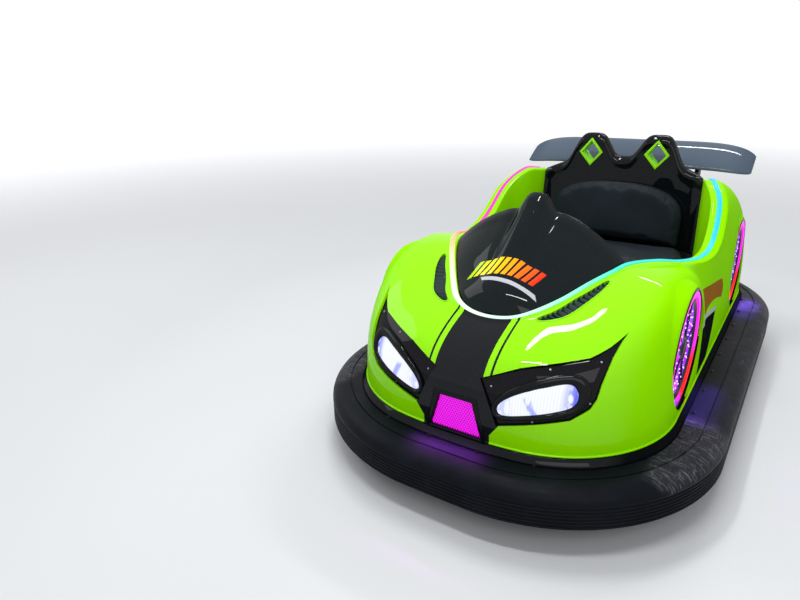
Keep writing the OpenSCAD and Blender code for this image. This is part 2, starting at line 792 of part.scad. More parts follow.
module headlight_left() { headlight(1); }
module headlight_right() { headlight(-1); }
module lens_left() { lens(1); }
module lens_right() { lens(-1); }

// Grille
grille_y = -body_hl + 19;
grille_depth = 24;
grille_rim = 14;
screen_t = 8;
module grille_shape(grow)
{
    polygon([[-73 - grow, 212 - grow], [73 + grow, 212 - grow],
             [46 + grow, 308 + grow], [-46 - grow, 308 + grow]]);
}

module grille_frame()
{
    color("#0c0d0f") translate([0, grille_y, 0]) rotate([90, 0, 0])
        linear_extrude(height = grille_depth) difference() {
            intersection() {
                grille_shape(grille_rim);
                translate([-half_w, body_low]) square([car_w, half_w]);
            }
            grille_shape(0);
        }
}

module grille_screen()
{
    color("#e020e0") translate([0, grille_y - grille_depth / 4, 0]) rotate([90, 0, 0])
        linear_extrude(height = screen_t) grille_shape(-seat_gap);
}

// Round side lamps
disc_face_x = body_hw - 15;
module disc_profile()
{
    r = disc_r;
    polygon([[0, 0], [r, 0], [r, disc_d], [r - 14, disc_d + 4], [r - 14, disc_d - 8],
             [r - 14 - ring_w, disc_d - 8], [r - 14 - ring_w, disc_d - 2],
             [r - 34, disc_d - 10], [30, disc_d - 8], [24, disc_d - 3], [0, disc_d - 3]]);
}

module side_lamp(side, y)
{
    color("#15151a") translate([side * (disc_face_x - disc_d), y, disc_z])
        rotate([0, side * 90, 0]) rotate_extrude() disc_profile();
}

module ring(side, y)
{
    r = disc_r - 14 - seat_gap;
    color("#f020c0") translate([side * (disc_face_x - 8 + seat_gap), y, disc_z])
        rotate([0, side * 90, 0]) rotate_extrude()
            translate([r - ring_w + 2 * seat_gap, 0]) square([ring_w - 2 * seat_gap, 9]);
}

module side_lamp_front_left() { side_lamp(1, front_disc_y); }
module side_lamp_front_right() { side_lamp(-1, front_disc_y); }
module side_lamp_rear_left() { side_lamp(1, rear_disc_y); }
module side_lamp_rear_right() { side_lamp(-1, rear_disc_y); }
module ring_front_left() { ring(1, front_disc_y); }
module ring_front_right() { ring(-1, front_disc_y); }
module ring_rear_left() { ring(1, rear_disc_y); }
module ring_rear_right() { ring(-1, rear_disc_y); }

// Tail lamps, which follow the body's skin
tail_first = 39;
tail_last = 50;
tail_half = 60;
tail_place = [body_hw - 205, body_hl - 105, 370];
tail_reach = 160;
tail_r = 18;
module tail_prism(grow)
{
    translate(tail_place) rotate([-80, 0, -24]) linear_extrude(height = tail_reach) {
        square([2 * tail_half, 2 * (tail_r + grow)], center = true);
        for (end = [-1, 1]) translate([tail_half * end, 0]) circle(r = tail_r + grow);
    }
}

module tail_lamps()
{
    color("#b01018") for (side = [-1, 1]) on_side(side) intersection() {
        skin_patch(tail_first, tail_last, -3, body_wall);
        tail_prism(0);
    }
}

// Drive unit: a fork that swivels in a bridge over the floor plate
fork_t = 8;
fork_gap = 8;
fork_inner = drive_w / 2 + fork_gap;
axle_r = 10;
pin_r = 15;
crown_z = drive_r * 2 + 14;
crown_t = 10;
bridge_z = crown_z + crown_t + 16;
bridge_t = 12;
bridge_half = 150;
boss_r = 34;
boss_h = 40;

// The steering column's foot is held by a post on the bridge
column_r = 19;
post_w = 64;
post_t = 16;
column_foot_y = drive_y + boss_r - 3;
column_l = post_t + (wheel_y - column_foot_y) / cos(column_tilt);
column_foot_z = wheel_z - (column_l - post_t) * sin(column_tilt);
module swivel_bridge()
{
    color("#44484e") difference() {
        union() {
            translate([-bridge_half, drive_y - 40, bridge_z]) cube([2 * bridge_half, 80, bridge_t]);
            for (side = [-1, 1])
                translate([side * (bridge_half - 5) - 5, drive_y - 40, plate_top + seat_gap])
                    cube([10, 80, bridge_z - plate_top - seat_gap]);
            translate([0, drive_y, bridge_z]) cylinder(r = boss_r, h = boss_h);
            translate([-post_w / 2, column_foot_y - post_t / 2, bridge_z])
                cube([post_w, post_t, column_foot_z - bridge_z + column_r + 12]);
        }
        along_column(-column_l - 40) cylinder(r = column_r + seat_gap, h = 80);
        translate([0, drive_y, bridge_z - 1]) cylinder(r = pin_r + run_gap, h = boss_h + 2);
    }
}

module drive_fork()
{
    color("#60656d") difference() {
        union() {
            translate([0, drive_y, crown_z]) cylinder(r = 62, h = crown_t);
            translate([0, drive_y, crown_z]) cylinder(r = pin_r, h = bridge_z + boss_h + 6 - crown_z);
            for (side = [-1, 1]) translate([side * (fork_inner + fork_t / 2), drive_y, 0])
                rotate([90, 0, 90]) translate([0, 0, -fork_t / 2]) linear_extrude(height = fork_t)
                    union() {
                        translate([0, drive_r]) circle(r = 24);
                        translate([-24, drive_r]) square([48, crown_z - drive_r + 1]);
                    }
        }
        translate([0, drive_y, drive_r]) rotate([0, 90, 0])
            cylinder(r = axle_r + run_gap, h = 200, center = true);
    }
}

motor_r = 32;
motor_l = 36;
module drive_motor()
{
    color("#2c2f34") translate([fork_inner + fork_t + seat_gap, drive_y, drive_r + 60])
        rotate([0, 90, 0]) cylinder(r = motor_r, h = motor_l);
}

module wheel_hub(r, w, axle_half)
{
    rotate([0, 90, 0]) union() {
        rotate_extrude() polygon([[0, -w / 2 - 4], [30, -w / 2 - 4], [30, -8], [r - 8, -8],
            [r - 8, -w / 2 + 3], [r, -w / 2 + 3], [r, w / 2 - 3], [r - 8, w / 2 - 3],
            [r - 8, 8], [30, 8], [30, w / 2 + 4], [0, w / 2 + 4]]);
        cylinder(r = axle_r, h = 2 * axle_half, center = true);
    }
}

module tyre(r, w, hub_r)
{
    rotate([0, 90, 0]) rotate_extrude() polygon([[hub_r, -w / 2 + 3], [hub_r + 6, -w / 2],
        [r - 8, -w / 2], [r - 2, -w / 2 + 5], [r, -w / 2 + 12], [r, w / 2 - 12],
        [r - 2, w / 2 - 5], [r - 8, w / 2], [hub_r + 6, w / 2], [hub_r, w / 2 - 3]]);
}

hub_share = 30;
module drive_hub()
{
    color("silver") translate([0, drive_y, drive_r])
        wheel_hub(drive_r - hub_share, drive_w, fork_inner + fork_t + 3);
}

module drive_tyre()
{
    color("#202022") translate([0, drive_y, drive_r]) tyre(drive_r, drive_w, drive_r - hub_share);
}

// Rear wheels, each in a bracket under the floor plate
bracket_t = 6;
bracket_in = rear_w / 2 + 9;
module rear_brackets()
{
    color("#44484e") for (side = [-1, 1], wall = [-1, 1])
        translate([side * rear_x + wall * (bracket_in + bracket_t / 2), rear_y, 0]) difference() {
            rotate([90, 0, 90]) translate([0, 0, -bracket_t / 2])
                linear_extrude(height = bracket_t) union() {
                    translate([0, rear_r]) circle(r = 22);
                    translate([-22, rear_r])
                        square([44, plate_top - plate_t - seat_gap - rear_r]);
                }
            translate([0, 0, rear_r]) rotate([0, 90, 0])
                cylinder(r = axle_r + run_gap, h = 40, center = true);
        }
}

module rear_hub(side)
{
    color("silver") translate([side * rear_x, rear_y, rear_r])
        wheel_hub(rear_r - hub_share, rear_w, bracket_in + bracket_t + 3);
}

module rear_tyre(side)
{
    color("#202022") translate([side * rear_x, rear_y, rear_r])
        tyre(rear_r, rear_w, rear_r - hub_share);
}

module rear_hub_left() { rear_hub(1); }
module rear_hub_right() { rear_hub(-1); }
module rear_tyre_left() { rear_tyre(1); }
module rear_tyre_right() { rear_tyre(-1); }

// Steering
module along_column(d)
{
    translate([0, wheel_y, wheel_z]) rotate([column_tilt - 90, 0, 0]) translate([0, 0, d])
        children();
}

spindle_r = 9;
module steering_column()
{
    color("#2c2f34") along_column(-column_l) difference() {
        cylinder(r = column_r, h = column_l - 34);
        translate([0, 0, -1]) cylinder(r = spindle_r + run_gap, h = column_l);
    }
}

module steering_wheel()
{
    color("#1a1a1c") along_column(0) union() {
        rotate_extrude() translate([wheel_r, 0]) circle(r = grip_r);
        translate([0, 0, -26]) cylinder(r = 40, h = 22);
        for (a = [-90, 30, 150]) rotate([0, 0, a]) translate([0, -14, -18])
            cube([wheel_r - 4, 28, 8]);
        translate([0, 0, -column_l + 20]) cylinder(r = spindle_r, h = column_l - 30);
    }
}

module pedals()
{
    color("#50545a") for (x = [-110, 110])
        translate([x - 35, -385, plate_top + 2 * seat_gap + tub_t])
            rotate([90, 0, 90]) linear_extrude(height = 70)
                polygon([[0, 0], [60, 0], [60, 6], [14, 70], [6, 66]]);
}

floor_plate();
bumper_ring();
base_skirt();
body_shell();
cockpit_tub();
dash_panel();
cowl();
rim_light();
seat_board();
seat_cushion();
back_cushion();
seat_shell();
headrest_linings();
rear_wing();
wing_struts();
batteries();
headlight_left();
headlight_right();
lens_left();
lens_right();
grille_frame();
grille_screen();
side_lamp_front_left();
side_lamp_front_right();
side_lamp_rear_left();
side_lamp_rear_right();
ring_front_left();
ring_front_right();
ring_rear_left();
ring_rear_right();
tail_lamps();
swivel_bridge();
steering_column();
pedals();
steering_wheel();
drive_fork();
drive_motor();
drive_hub();
drive_tyre();
rear_brackets();
rear_hub_left();
rear_hub_right();
rear_tyre_left();
rear_tyre_right();
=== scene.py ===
"""Looks of a two-seat fairground bumper car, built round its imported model.

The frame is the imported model: metres, -Y forward, +X the driver's left, +Z up. Each
sub-assembly is a class that builds its meshes and dresses them, and main() builds the
classes in order. Sizes that the part's source gives in millimetres stay in them here.
"""

import logging
import math
from dataclasses import dataclass, field
from enum import Enum
from functools import partial
from typing import Callable, ClassVar, Dict, List, Optional, Sequence, Tuple, Union

import bpy
import numpy as np
from mathutils import Matrix, Vector
from mathutils.bvhtree import BVHTree

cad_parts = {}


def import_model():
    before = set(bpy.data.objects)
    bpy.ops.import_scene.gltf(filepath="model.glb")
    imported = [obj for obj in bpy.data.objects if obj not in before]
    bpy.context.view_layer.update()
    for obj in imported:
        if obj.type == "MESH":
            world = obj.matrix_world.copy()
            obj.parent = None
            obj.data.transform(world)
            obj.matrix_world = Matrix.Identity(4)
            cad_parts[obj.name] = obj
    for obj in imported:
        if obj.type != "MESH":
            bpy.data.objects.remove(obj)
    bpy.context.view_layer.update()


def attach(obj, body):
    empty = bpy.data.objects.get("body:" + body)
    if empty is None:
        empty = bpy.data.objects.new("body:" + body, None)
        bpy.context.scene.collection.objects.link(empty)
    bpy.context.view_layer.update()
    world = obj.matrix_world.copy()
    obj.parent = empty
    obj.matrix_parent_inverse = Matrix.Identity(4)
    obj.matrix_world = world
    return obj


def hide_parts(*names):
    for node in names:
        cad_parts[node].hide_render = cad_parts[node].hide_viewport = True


log = logging.getLogger("bumper_car")
MM = 0.001
QUARTER = math.pi / 2
MERGE = 0.00002  # points nearer than this, in metres, become one
FINE_MERGE = 0.00001
FLIP_X = np.array([-1, 1, 1])
LAMP_Z = 364.0  # height of the side lamps' middles
EDGE = 0.0004  # width in metres of the step at a painted edge
Colour = Tuple[float, float, float]
Number = Union[float, "Value"]
Pair = Tuple[float, float]
Place = Tuple[float, float, float]
Object = bpy.types.Object
Stops = Sequence[Tuple[float, Colour]]


class Side(Enum):
    """Side of the car, with the sign of its x."""

    LEFT = 1
    RIGHT = -1


class End(Enum):
    """End of the car, with the name that its pieces carry."""

    FRONT = "front"
    REAR = "rear"


LAMP_Y = {End.FRONT: -428.0, End.REAR: 448.0}  # places of the side lamps' middles


def srgb(code: str) -> Colour:
    """Linear colour of a hexadecimal sRGB code such as "8fdc14"."""
    parts = [int(code[i : i + 2], 16) / 255 for i in (0, 2, 4)]
    return tuple(c / 12.92 if c <= 0.04045 else ((c + 0.055) / 1.055) ** 2.4 for c in parts)


# Shader maths


class Value:
    """A shader's socket, whose arithmetic adds Math nodes to its graph."""

    def __init__(self, graph: "Graph", socket: bpy.types.NodeSocket) -> None:
        """Wraps one output socket of the graph."""
        self.graph = graph
        self.socket = socket

    def __add__(self, other: Number) -> "Value":
        """Sum."""
        return self.graph.math("ADD", self, other)

    def __sub__(self, other: Number) -> "Value":
        """Difference."""
        return self.graph.math("SUBTRACT", self, other)

    def __rsub__(self, other: Number) -> "Value":
        """Difference from a number."""
        return self.graph.math("SUBTRACT", other, self)

    def __mul__(self, other: Number) -> "Value":
        """Product."""
        return self.graph.math("MULTIPLY", self, other)

    def __truediv__(self, other: Number) -> "Value":
        """Quotient."""
        return self.graph.math("DIVIDE", self, other)

    def __gt__(self, other: Number) -> "Value":
        """1 where this is the greater, else 0."""
        return self.graph.math("GREATER_THAN", self, other)

    def __lt__(self, other: Number) -> "Value":
        """1 where this is the smaller, else 0."""
        return self.graph.math("LESS_THAN", self, other)

    def __abs__(self) -> "Value":
        """Size without its sign."""
        return self.graph.math("ABSOLUTE", self)

    __radd__ = __add__
    __rmul__ = __mul__


class Graph:
    """The node tree of one material, or of the world."""

    def __init__(self, owner: Union[bpy.types.Material, bpy.types.World]) -> None:
        """Empties the owner's tree."""
        owner.use_nodes = True
        self.tree = owner.node_tree
        self.tree.nodes.clear()

    def node(
        self,
        kind: str,
        settings: Optional[dict] = None,
        inputs: Optional[dict] = None,
        out: Union[int, str, None] = 0,
    ) -> Optional[Value]:
        """Adds a node.

        Args:
            kind: The node's type, such as "ShaderNodeTexNoise".
            settings: Its own settings, set before its sockets; "stops" fills a ramp.
            inputs: Numbers, colours or Values for its input sockets, by name or index.
            out: Name or index of the output that is wanted, or None at the graph's end.

        Returns:
            That output, if one is wanted.
        """
        made = self.tree.nodes.new(kind)
        for key, value in (settings or {}).items():
            if key == "stops":
                self._fill_ramp(made.color_ramp, value)
            else:
                setattr(made, key, value)
        for key, value in (inputs or {}).items():
            socket = made.inputs[key]
            if isinstance(value, Value):
                self.tree.links.new(value.socket, socket)
            elif socket.type == "RGBA" and len(value) == 3:
                socket.default_value = (*value, 1.0)
            else:
                socket.default_value = value
        return None if out is None else Value(self, made.outputs[out])

    @staticmethod
    def _fill_ramp(ramp: bpy.types.ColorRamp, stops: Stops) -> None:
        """Gives a ramp its stops, each a place and a colour."""
        while len(ramp.elements) < len(stops):
            ramp.elements.new(0.5)
        for element, (place, colour) in zip(ramp.elements, stops):
            element.position = place
            element.color = (*colour, 1.0)

    def ramp(self, at: Value, *stops: Tuple[float, str]) -> Value:
        """Colour at a place from 0 to 1 between stops, each a place and a code."""
        colours = [(place, srgb(code)) for place, code in stops]
        return self.node("ShaderNodeValToRGB", {"stops": colours}, {0: at})

    def math(self, operation: str, *terms: Number, clamp: bool = False) -> Value:
        """Math node of an operation on one to three terms."""
        settings = {"operation": operation, "use_clamp": clamp}
        return self.node("ShaderNodeMath", settings, dict(enumerate(terms)))

    def most(self, first: Value, other: Number) -> Value:
        """The greater of two."""
        return self.math("MAXIMUM", first, other)

    def mix(self, low: Union[Colour, Value], high: Union[Colour, Value], share: Number) -> Value:
        """Colour between two others."""
        sockets = {0: share, 6: low, 7: high}
        return self.node("ShaderNodeMix", {"data_type": "RGBA"}, sockets, out=2)

    def above(self, value: Value, edge: Number = 0.0, width: float = EDGE) -> Value:
        """0 under an edge and 1 over it, with a soft step of that width."""
        return self.math("MULTIPLY", value - edge, 1 / width, clamp=True)

    def between(self, value: Value, low: float, high: float, width: float = EDGE) -> Value:
        """1 between two edges and 0 outside them."""
        return self.above(value, low, width) * (1 - self.above(value, high, width))

    def place(self, scale: Place = (1, 1, 1)) -> Value:
        """Object coordinates, scaled along each axis."""
        point = self.node("ShaderNodeTexCoord", out="Object")
        if tuple(scale) == (1, 1, 1):
            return point
        return self.node("ShaderNodeMapping", None, {"Vector": point, "Scale": scale})

    def axes(self) -> Tuple[Value, Value, Value]:
        """The three object coordinates."""
        outputs = self.node("ShaderNodeSeparateXYZ", None, {0: self.place()}).socket.node.outputs
        return tuple(Value(self, output) for output in outputs)

    def noise(
        self, scale: float, detail: float = 3.0, rough: float = 0.5, stretch: Place = (1, 1, 1)
    ) -> Value:
        """Noise from 0 to 1 over the object coordinates."""
        sockets = {"Scale": scale, "Detail": detail, "Roughness": rough}
        return self.node("ShaderNodeTexNoise", None, {"Vector": self.place(stretch), **sockets})

    def cells(self, scale: float, stretch: Place = (1, 1, 1), edge: bool = False) -> Value:
        """Distance to the nearest cell's centre, or to its edge."""
        settings = {"feature": "DISTANCE_TO_EDGE" if edge else "F1"}
        sockets = {"Vector": self.place(stretch), "Scale": scale}
        return self.node("ShaderNodeTexVoronoi", settings, sockets, out="Distance")

    def bump(self, height: Value, depth: float) -> Value:
        """Normal bent by a height field whose full range is that depth in metres."""
        sockets = {"Strength": 1.0, "Distance": depth, "Height": height}
        return self.node("ShaderNodeBump", None, sockets)

    def surface(self, **sockets: Union[Number, Colour, Value]) -> None:
        """Ends the graph in a principled shader.

        Args:
            **sockets: Values of its sockets, with underscores for the spaces.
        """
        inputs = {key.replace("_", " "): value for key, value in sockets.items()}
        shader = self.node("ShaderNodeBsdfPrincipled", None, inputs)
        self.node("ShaderNodeOutputMaterial", None, {"Surface": shader}, out=None)


# Finishes


@dataclass(frozen=True)
class Finish:
    """A finish: the name of its material and the record's slot that it stands for."""

    name: str
    slot: str

    def build(self) -> bpy.types.Material:
        """Makes the material."""
        material = bpy.data.materials.new(self.name)
        self.shade_surface(Graph(material))
        return material

    def shade_surface(self, graph: Graph) -> None:
        """Fills the material's graph."""
        raise NotImplementedError


@dataclass(frozen=True)
class Gelcoat(Finish):
    """Polished coloured gelcoat with the faint ripple of its mould."""

    colour: Colour = (0.3, 0.7, 0.01)
    shade: Colour = (0.25, 0.6, 0.01)
    ripple: float = 0.0003
    gloss: float = 0.36
    side_x: ClassVar[float] = 0.355  # beyond this the gloss falls off, by this share
    side_fall: ClassVar[float] = 0.92
    dust: ClassVar[Colour] = (0.5, 0.5, 0.48)

    def paint(self, graph: Graph) -> Union[Colour, Value]:
        """Colour over the surface, before dust."""
        return graph.mix(self.shade, self.colour, graph.noise(2.2, 2.0))

    def shade_surface(self, graph: Graph) -> None:
        """Fills the material's graph."""
        specks = graph.above(graph.noise(420, 2.0), 0.68, 0.04)
        height = graph.noise(7.0, 1.5) + graph.noise(60, 2.0) * 0.01
        side = graph.above(abs(graph.axes()[0]), self.side_x, 0.04)
        graph.surface(
            Base_Color=graph.mix(self.paint(graph), self.dust, specks * 0.05),
            Roughness=graph.noise(30, 3.0) * 0.06 + 0.08,
            Specular_IOR_Level=0.0,
            Coat_Weight=self.gloss - side * (self.gloss * self.side_fall),
            Coat_Roughness=0.02,
            Normal=graph.bump(height, self.ripple),
        )


@dataclass(frozen=True)
class StripedGelcoat(Gelcoat):
    """Body colour with the black nose and hood band, and the side marks."""

    black: Colour = (0.006, 0.007, 0.009)
    silver: Colour = (0.42, 0.43, 0.45)
    amber: Colour = (0.36, 0.14, 0.008)
    amber_shade: Colour = (0.2, 0.08, 0.01)
    band: float = 0.068  # half width of the hood's band
    line: Pair = (0.083, 0.089)  # thin line beside it
    chin_z: float = 0.231  # height from which the nose's field widens, and its half widths
    chin: Pair = (0.094, 0.127)
    nose_top: float = 0.379
    mark_x: float = 0.36  # the side marks lie outside this
    mark_slope: float = 0.168  # fall of the silver line towards the rear
    mark_edge: float = 0.0008

    def paint(self, graph: Graph) -> Value:
        """Colour with the band, the nose and the marks."""
        base = super().paint(graph)
        x, y, z = graph.axes()
        side = abs(x)
        ahead = graph.above(0 - y, 0.66)
        chin = graph.most(z - self.chin_z, 0.0) * 0.7 + self.chin[0]
        chin = graph.math("MINIMUM", chin, self.chin[1])
        under = 1 - graph.above(z - (side - self.band) * 0.34, self.nose_top)
        nose = (1 - graph.above(side - chin)) * under
        band = 1 - graph.above(side, self.band)
        mask = graph.most(nose, graph.most(band, graph.between(side, *self.line))) * ahead
        return self.side_marks(graph, graph.mix(base, self.black, mask))

    def side_marks(self, graph: Graph, base: Value) -> Value:
        """Amber field, silver line and black field low on each side, between the lamps."""
        x, y, z = graph.axes()
        edge = self.mark_edge
        outer = graph.node("ShaderNodeAttribute", {"attribute_name": "outside"}, out="Fac")
        outer = graph.above(abs(x), self.mark_x, edge) * graph.above(outer, 0.4, 0.2)
        sag = (y - 0.02) * (y - 0.02) * -0.9
        insides = (
            0.432 - z + (y + 0.120) * -0.134,
            0.150 - y - (z - 0.364) * (z - 0.364) * 16,
            y + 0.132 - (z - 0.362) * -0.514,
            z - 0.346 - (0.112 - y) * 0.1 - sag,
        )
        top, tail, front, bottom = (graph.above(inside, 0.0, edge) for inside in insides)
        amber = top * tail * front * bottom * outer
        slant = (0.043 - y) * self.mark_slope
        rear = graph.above(0.062 - y, 0.0, edge)
        silver = graph.between(z - 0.3265 - slant, -0.013, 0.0, edge) * rear
        black = (1 - graph.above(z - 0.3125 - slant, 0.0, edge)) * rear
        black = black * graph.above(z - 0.215 - graph.most(y + 0.12, 0.0) * 0.55, 0.0, edge)
        field = graph.above(y + 0.262, 0.0, edge) * outer
        shade = graph.mix(self.amber, self.amber_shade, graph.noise(22, 4.0, 0.6, (1, 0.3, 1)))
        with_amber = graph.mix(base, shade, amber)
        with_black = graph.mix(with_amber, self.black, black * field)
        return graph.mix(with_black, self.silver, silver * field)


@dataclass(frozen=True)
class BarredGelcoat(Gelcoat):
    """Black gelcoat with a row of slanted warm bars and a silver one."""

    pitch: float = 0.02
    silver: Colour = (0.45, 0.46, 0.5)
    warm: Tuple[Tuple[float, str], ...] = (
        (0.0, "9ad400"), (0.25, "f2e000"), (0.5, "ffb000"), (0.75, "ff6a10"), (1.0, "e02010"),
    )  # fmt: skip

    def paint(self, graph: Graph) -> Value:
        """Colour with the bars."""
        base = super().paint(graph)
        x, y, _z = graph.axes()
        slant = x - (y + 0.6) * 0.5
        step = graph.math("FRACT", (slant + 0.5) / self.pitch)
        bars = graph.between(step, 0.14, 0.82, 0.02)
        field = graph.between(slant, -0.0995, 0.0995) * graph.between(y, -0.628, -0.586)
        warm = graph.ramp((slant + 0.1) / 0.2, *self.warm)
        silver = graph.between(y + slant * 0.05, -0.647, -0.637)
        silver = silver * graph.between(x + (y + 0.64) * 0.8, -0.06, 0.095)
        return graph.mix(graph.mix(base, warm, bars * field), self.silver, silver)


@dataclass(frozen=True)
class Moulding(Finish):
    """Moulded plastic or fibreglass with a fine grain and scuffed high spots."""

    colour: Colour = (0.012, 0.013, 0.016)
    # colour of the dust and wear; in Vinyl the same field holds the painted sheen
    wear_and_sheen: Colour = (0.05, 0.05, 0.055)
    rough: float = 0.4
    grain: float = 0.0001
    grain_scale: float = 900.0

    def shade_surface(self, graph: Graph) -> None:
        """Fills the material's graph."""
        dust = graph.above(graph.noise(14, 6.0, 0.65), 0.52, 0.3)
        graph.surface(
            Base_Color=graph.mix(self.colour, self.wear_and_sheen, dust * 0.35),
            Roughness=graph.noise(55, 4.0) * 0.14 + (self.rough - 0.07),
            Specular_IOR_Level=0.2,
            Normal=graph.bump(graph.noise(self.grain_scale, 3.0), self.grain),
        )


@dataclass(frozen=True)
class Vinyl(Finish):
    """Soft black vinyl with a pebbled grain, faint creases and painted sheen in lighter patches."""

    colour: Colour = (0.005, 0.008, 0.012)
    # lighter colour of the painted sheen patches
    wear_and_sheen: Colour = (0.01, 0.015, 0.021)

    def shade_surface(self, graph: Graph) -> None:
        """Fills the material's graph."""
        grain = graph.cells(420, edge=True)
        crease = graph.noise(11, 5.0, 0.55, (1, 0.6, 1))
        # painted sheen: lighter patches in the base colour where the vinyl would catch the light
        sheen = graph.above(graph.noise(5, 3.0), 0.4, 0.4)
        graph.surface(
            Base_Color=graph.mix(self.colour, self.wear_and_sheen, sheen),
            Roughness=graph.noise(35, 3.0) * 0.12 + 0.48,
            Specular_IOR_Level=0.13,
            Normal=graph.bump(grain * 0.35 + crease * 0.8, 0.0009),
        )


@dataclass(frozen=True)
class Rubber(Finish):
    """Black rubber, greyed by dust and scuffed where the car meets others."""

    colour: Colour = (0.004, 0.005, 0.007)
    film: Colour = (0.009, 0.011, 0.016)
    dust: Colour = (0.03, 0.03, 0.036)
    scuff: Colour = (0.15, 0.15, 0.17)

    def shade_surface(self, graph: Graph) -> None:
        """Fills the material's graph."""
        x, y, z = graph.axes()
        top = graph.above(z, 0.14, 0.02)
        corner = graph.above(abs(x), 0.43, 0.03) * graph.between(abs(y), 0.44, 0.765, 0.03)
        corner = corner * graph.above(graph.noise(9, 4.0, 0.6), 0.36, 0.16)
        edge = graph.above(abs(x), 0.53, 0.02) * graph.above(graph.noise(16, 3.0), 0.5, 0.1)
        across = graph.above(graph.noise(24, 6.0, 0.72, (1, 7, 1)), 0.52, 0.1)
        lengthwise = graph.above(graph.noise(24, 6.0, 0.72, (6, 1, 1)), 0.56, 0.1)
        marks = graph.most(across, lengthwise) * graph.most(corner, edge * 0.6) * top
        film = graph.above(graph.noise(7, 6.0, 0.62), 0.42, 0.4)
        dull = graph.mix(self.colour, self.film, film)
        dusty = graph.mix(dull, self.dust, corner * top * 0.6)
        height = graph.noise(240, 4.0) * 0.5 + graph.noise(30, 3.0) * 0.4 - marks * 0.5
        graph.surface(
            Base_Color=graph.mix(dusty, self.scuff, marks * 0.55),
            Roughness=graph.noise(40, 4.0) * 0.22 + 0.3 + marks * 0.2,
            Specular_IOR_Level=0.045,
            Normal=graph.bump(height, 0.0005),
        )


@dataclass(frozen=True)
class Metal(Finish):
    """Bare or painted steel with a fine grain and worn spots."""

    colour: Colour = (0.5, 0.5, 0.52)
    metallic: float = 1.0
    rough: float = 0.35
    rust: float = 0.0
    rust_colour: ClassVar[Colour] = (0.12, 0.05, 0.025)

    def shade_surface(self, graph: Graph) -> None:
        """Fills the material's graph."""
        spots = graph.above(graph.noise(35, 6.0, 0.7), 0.6, 0.1) * self.rust
        graph.surface(
            Base_Color=graph.mix(self.colour, self.rust_colour, spots),
            Roughness=graph.noise(90, 4.0, 0.6) * 0.2 + self.rough - 0.1 + spots * 0.3,
            Metallic=1 - spots if self.metallic > 0.5 else 0.0,
            Normal=graph.bump(graph.noise(500, 3.0), 0.00008),
        )


@dataclass(frozen=True)
class Lamp(Finish):
    """A lit surface: its own colour, and the light that it gives."""

    colour: Colour = (0.9, 0.05, 0.8)
    strength: float = 1.0
    rough: float = 0.35

    def light(self, graph: Graph) -> Union[Colour, Value]:
        """Colour of the light over the surface."""
        return graph.mix(self.colour, tuple(c * 0.8 for c in self.colour), graph.noise(50, 2.0))

    def shade_surface(self, graph: Graph) -> None:
        """Fills the material's graph."""
        light = self.light(graph)
        graph.surface(
            Base_Color=graph.mix((0.01, 0.01, 0.01), light, 0.1),
            Roughness=self.rough,
            Specular_IOR_Level=0.15,
            Emission_Color=light,
            Emission_Strength=self.strength,
        )


@dataclass(frozen=True)
class StripLight(Lamp):
    """Light strip whose colour turns along the rim, apart on the two sides."""

    left: Tuple[Tuple[float, str], ...] = (
        (0.0, "e4fff0"), (0.1, "9cffd8"), (0.25, "20e0c8"), (0.5, "10d8e4"), (1.0, "08c0ff"),
    )  # fmt: skip
    right: Tuple[Tuple[float, str], ...] = (
        (0.0, "e4fff0"), (0.12, "fff8d0"), (0.24, "ffc890"), (0.36, "ff8050"), (0.6, "ff30b0"),
        (1.0, "f028e0"),
    )  # fmt: skip

    def light(self, graph: Graph) -> Value:
        """Colour by the place along the rim, with faint beads."""
        x, y, _z = graph.axes()
        along = (y + 0.75) / 1.2
        left, right = (graph.ramp(along, *stops) for stops in (self.left, self.right))
        beads = graph.math("SINE", y * 520) * 0.015
        colour = graph.mix(right, left, graph.above(x, -0.03, 0.06))
        return graph.mix(colour, (1.0, 1.0, 1.0), beads + 0.015)


@dataclass(frozen=True)
class RingLight(Lamp):
    """Light ring that turns from magenta to red and violet round its disc."""

    @staticmethod
    def around(graph: Graph) -> Tuple[Value, Value]:
        """Distances rearward and upward from the nearest lamp's middle."""
        _x, y, z = graph.axes()
        front, rear = (LAMP_Y[end] * MM for end in End)
        middle = graph.above(y, 0.0, 0.001) * (rear - front) + front
        return y - middle, z - LAMP_Z * MM

    def light(self, graph: Graph) -> Value:
        """Colour by the place round the ring."""
        along, up = self.around(graph)
        red = graph.above(along * 0.574 - up * 0.819, 0.112, 0.018)
        violet = graph.above(0 - up * 0.819 - along * 0.574, 0.112, 0.03)
        colour = graph.mix(srgb("ff18d0"), srgb("ff0816"), red)
        return graph.mix(colour, srgb("9010ff"), violet)


@dataclass(frozen=True)
class DiscGlow(RingLight):
    """Dark dish under a violet light that shows through many small openings."""

    def light(self, graph: Graph) -> Value:
        """Violet in small round spots, darker towards the middle."""
        along, up = self.around(graph)
        far = graph.math("SQRT", along * along + up * up)
        spots = graph.above(graph.noise(70, 2.0), 0.34, 0.2)
        outer = graph.above(abs(graph.axes()[0]), 0.4285, 0.0005)
        field = graph.between(far, 0.028, 0.124, 0.004) * outer
        angle = graph.math("ARCTAN2", up, along)
        star = graph.math("SINE", angle * 5) * 0.012 + 0.042
        violet = graph.mix(srgb("7a18ff"), srgb("e020ff"), graph.above(0 - along, -0.04, 0.12))
        lit = graph.mix(tuple(c * 0.5 for c in srgb("7a10ff")), violet, spots)
        return graph.mix((0.002, 0.0, 0.006), lit, field * graph.above(far - star, 0.0, 0.006))

    def shade_surface(self, graph: Graph) -> None:
        """Fills the material's graph."""
        graph.surface(
            Base_Color=(0.006, 0.005, 0.01),
            Roughness=graph.noise(60, 2.0) * 0.08 + 0.12,
            Specular_IOR_Level=0.15,
            Emission_Color=self.light(graph),
            Emission_Strength=self.strength,
        )


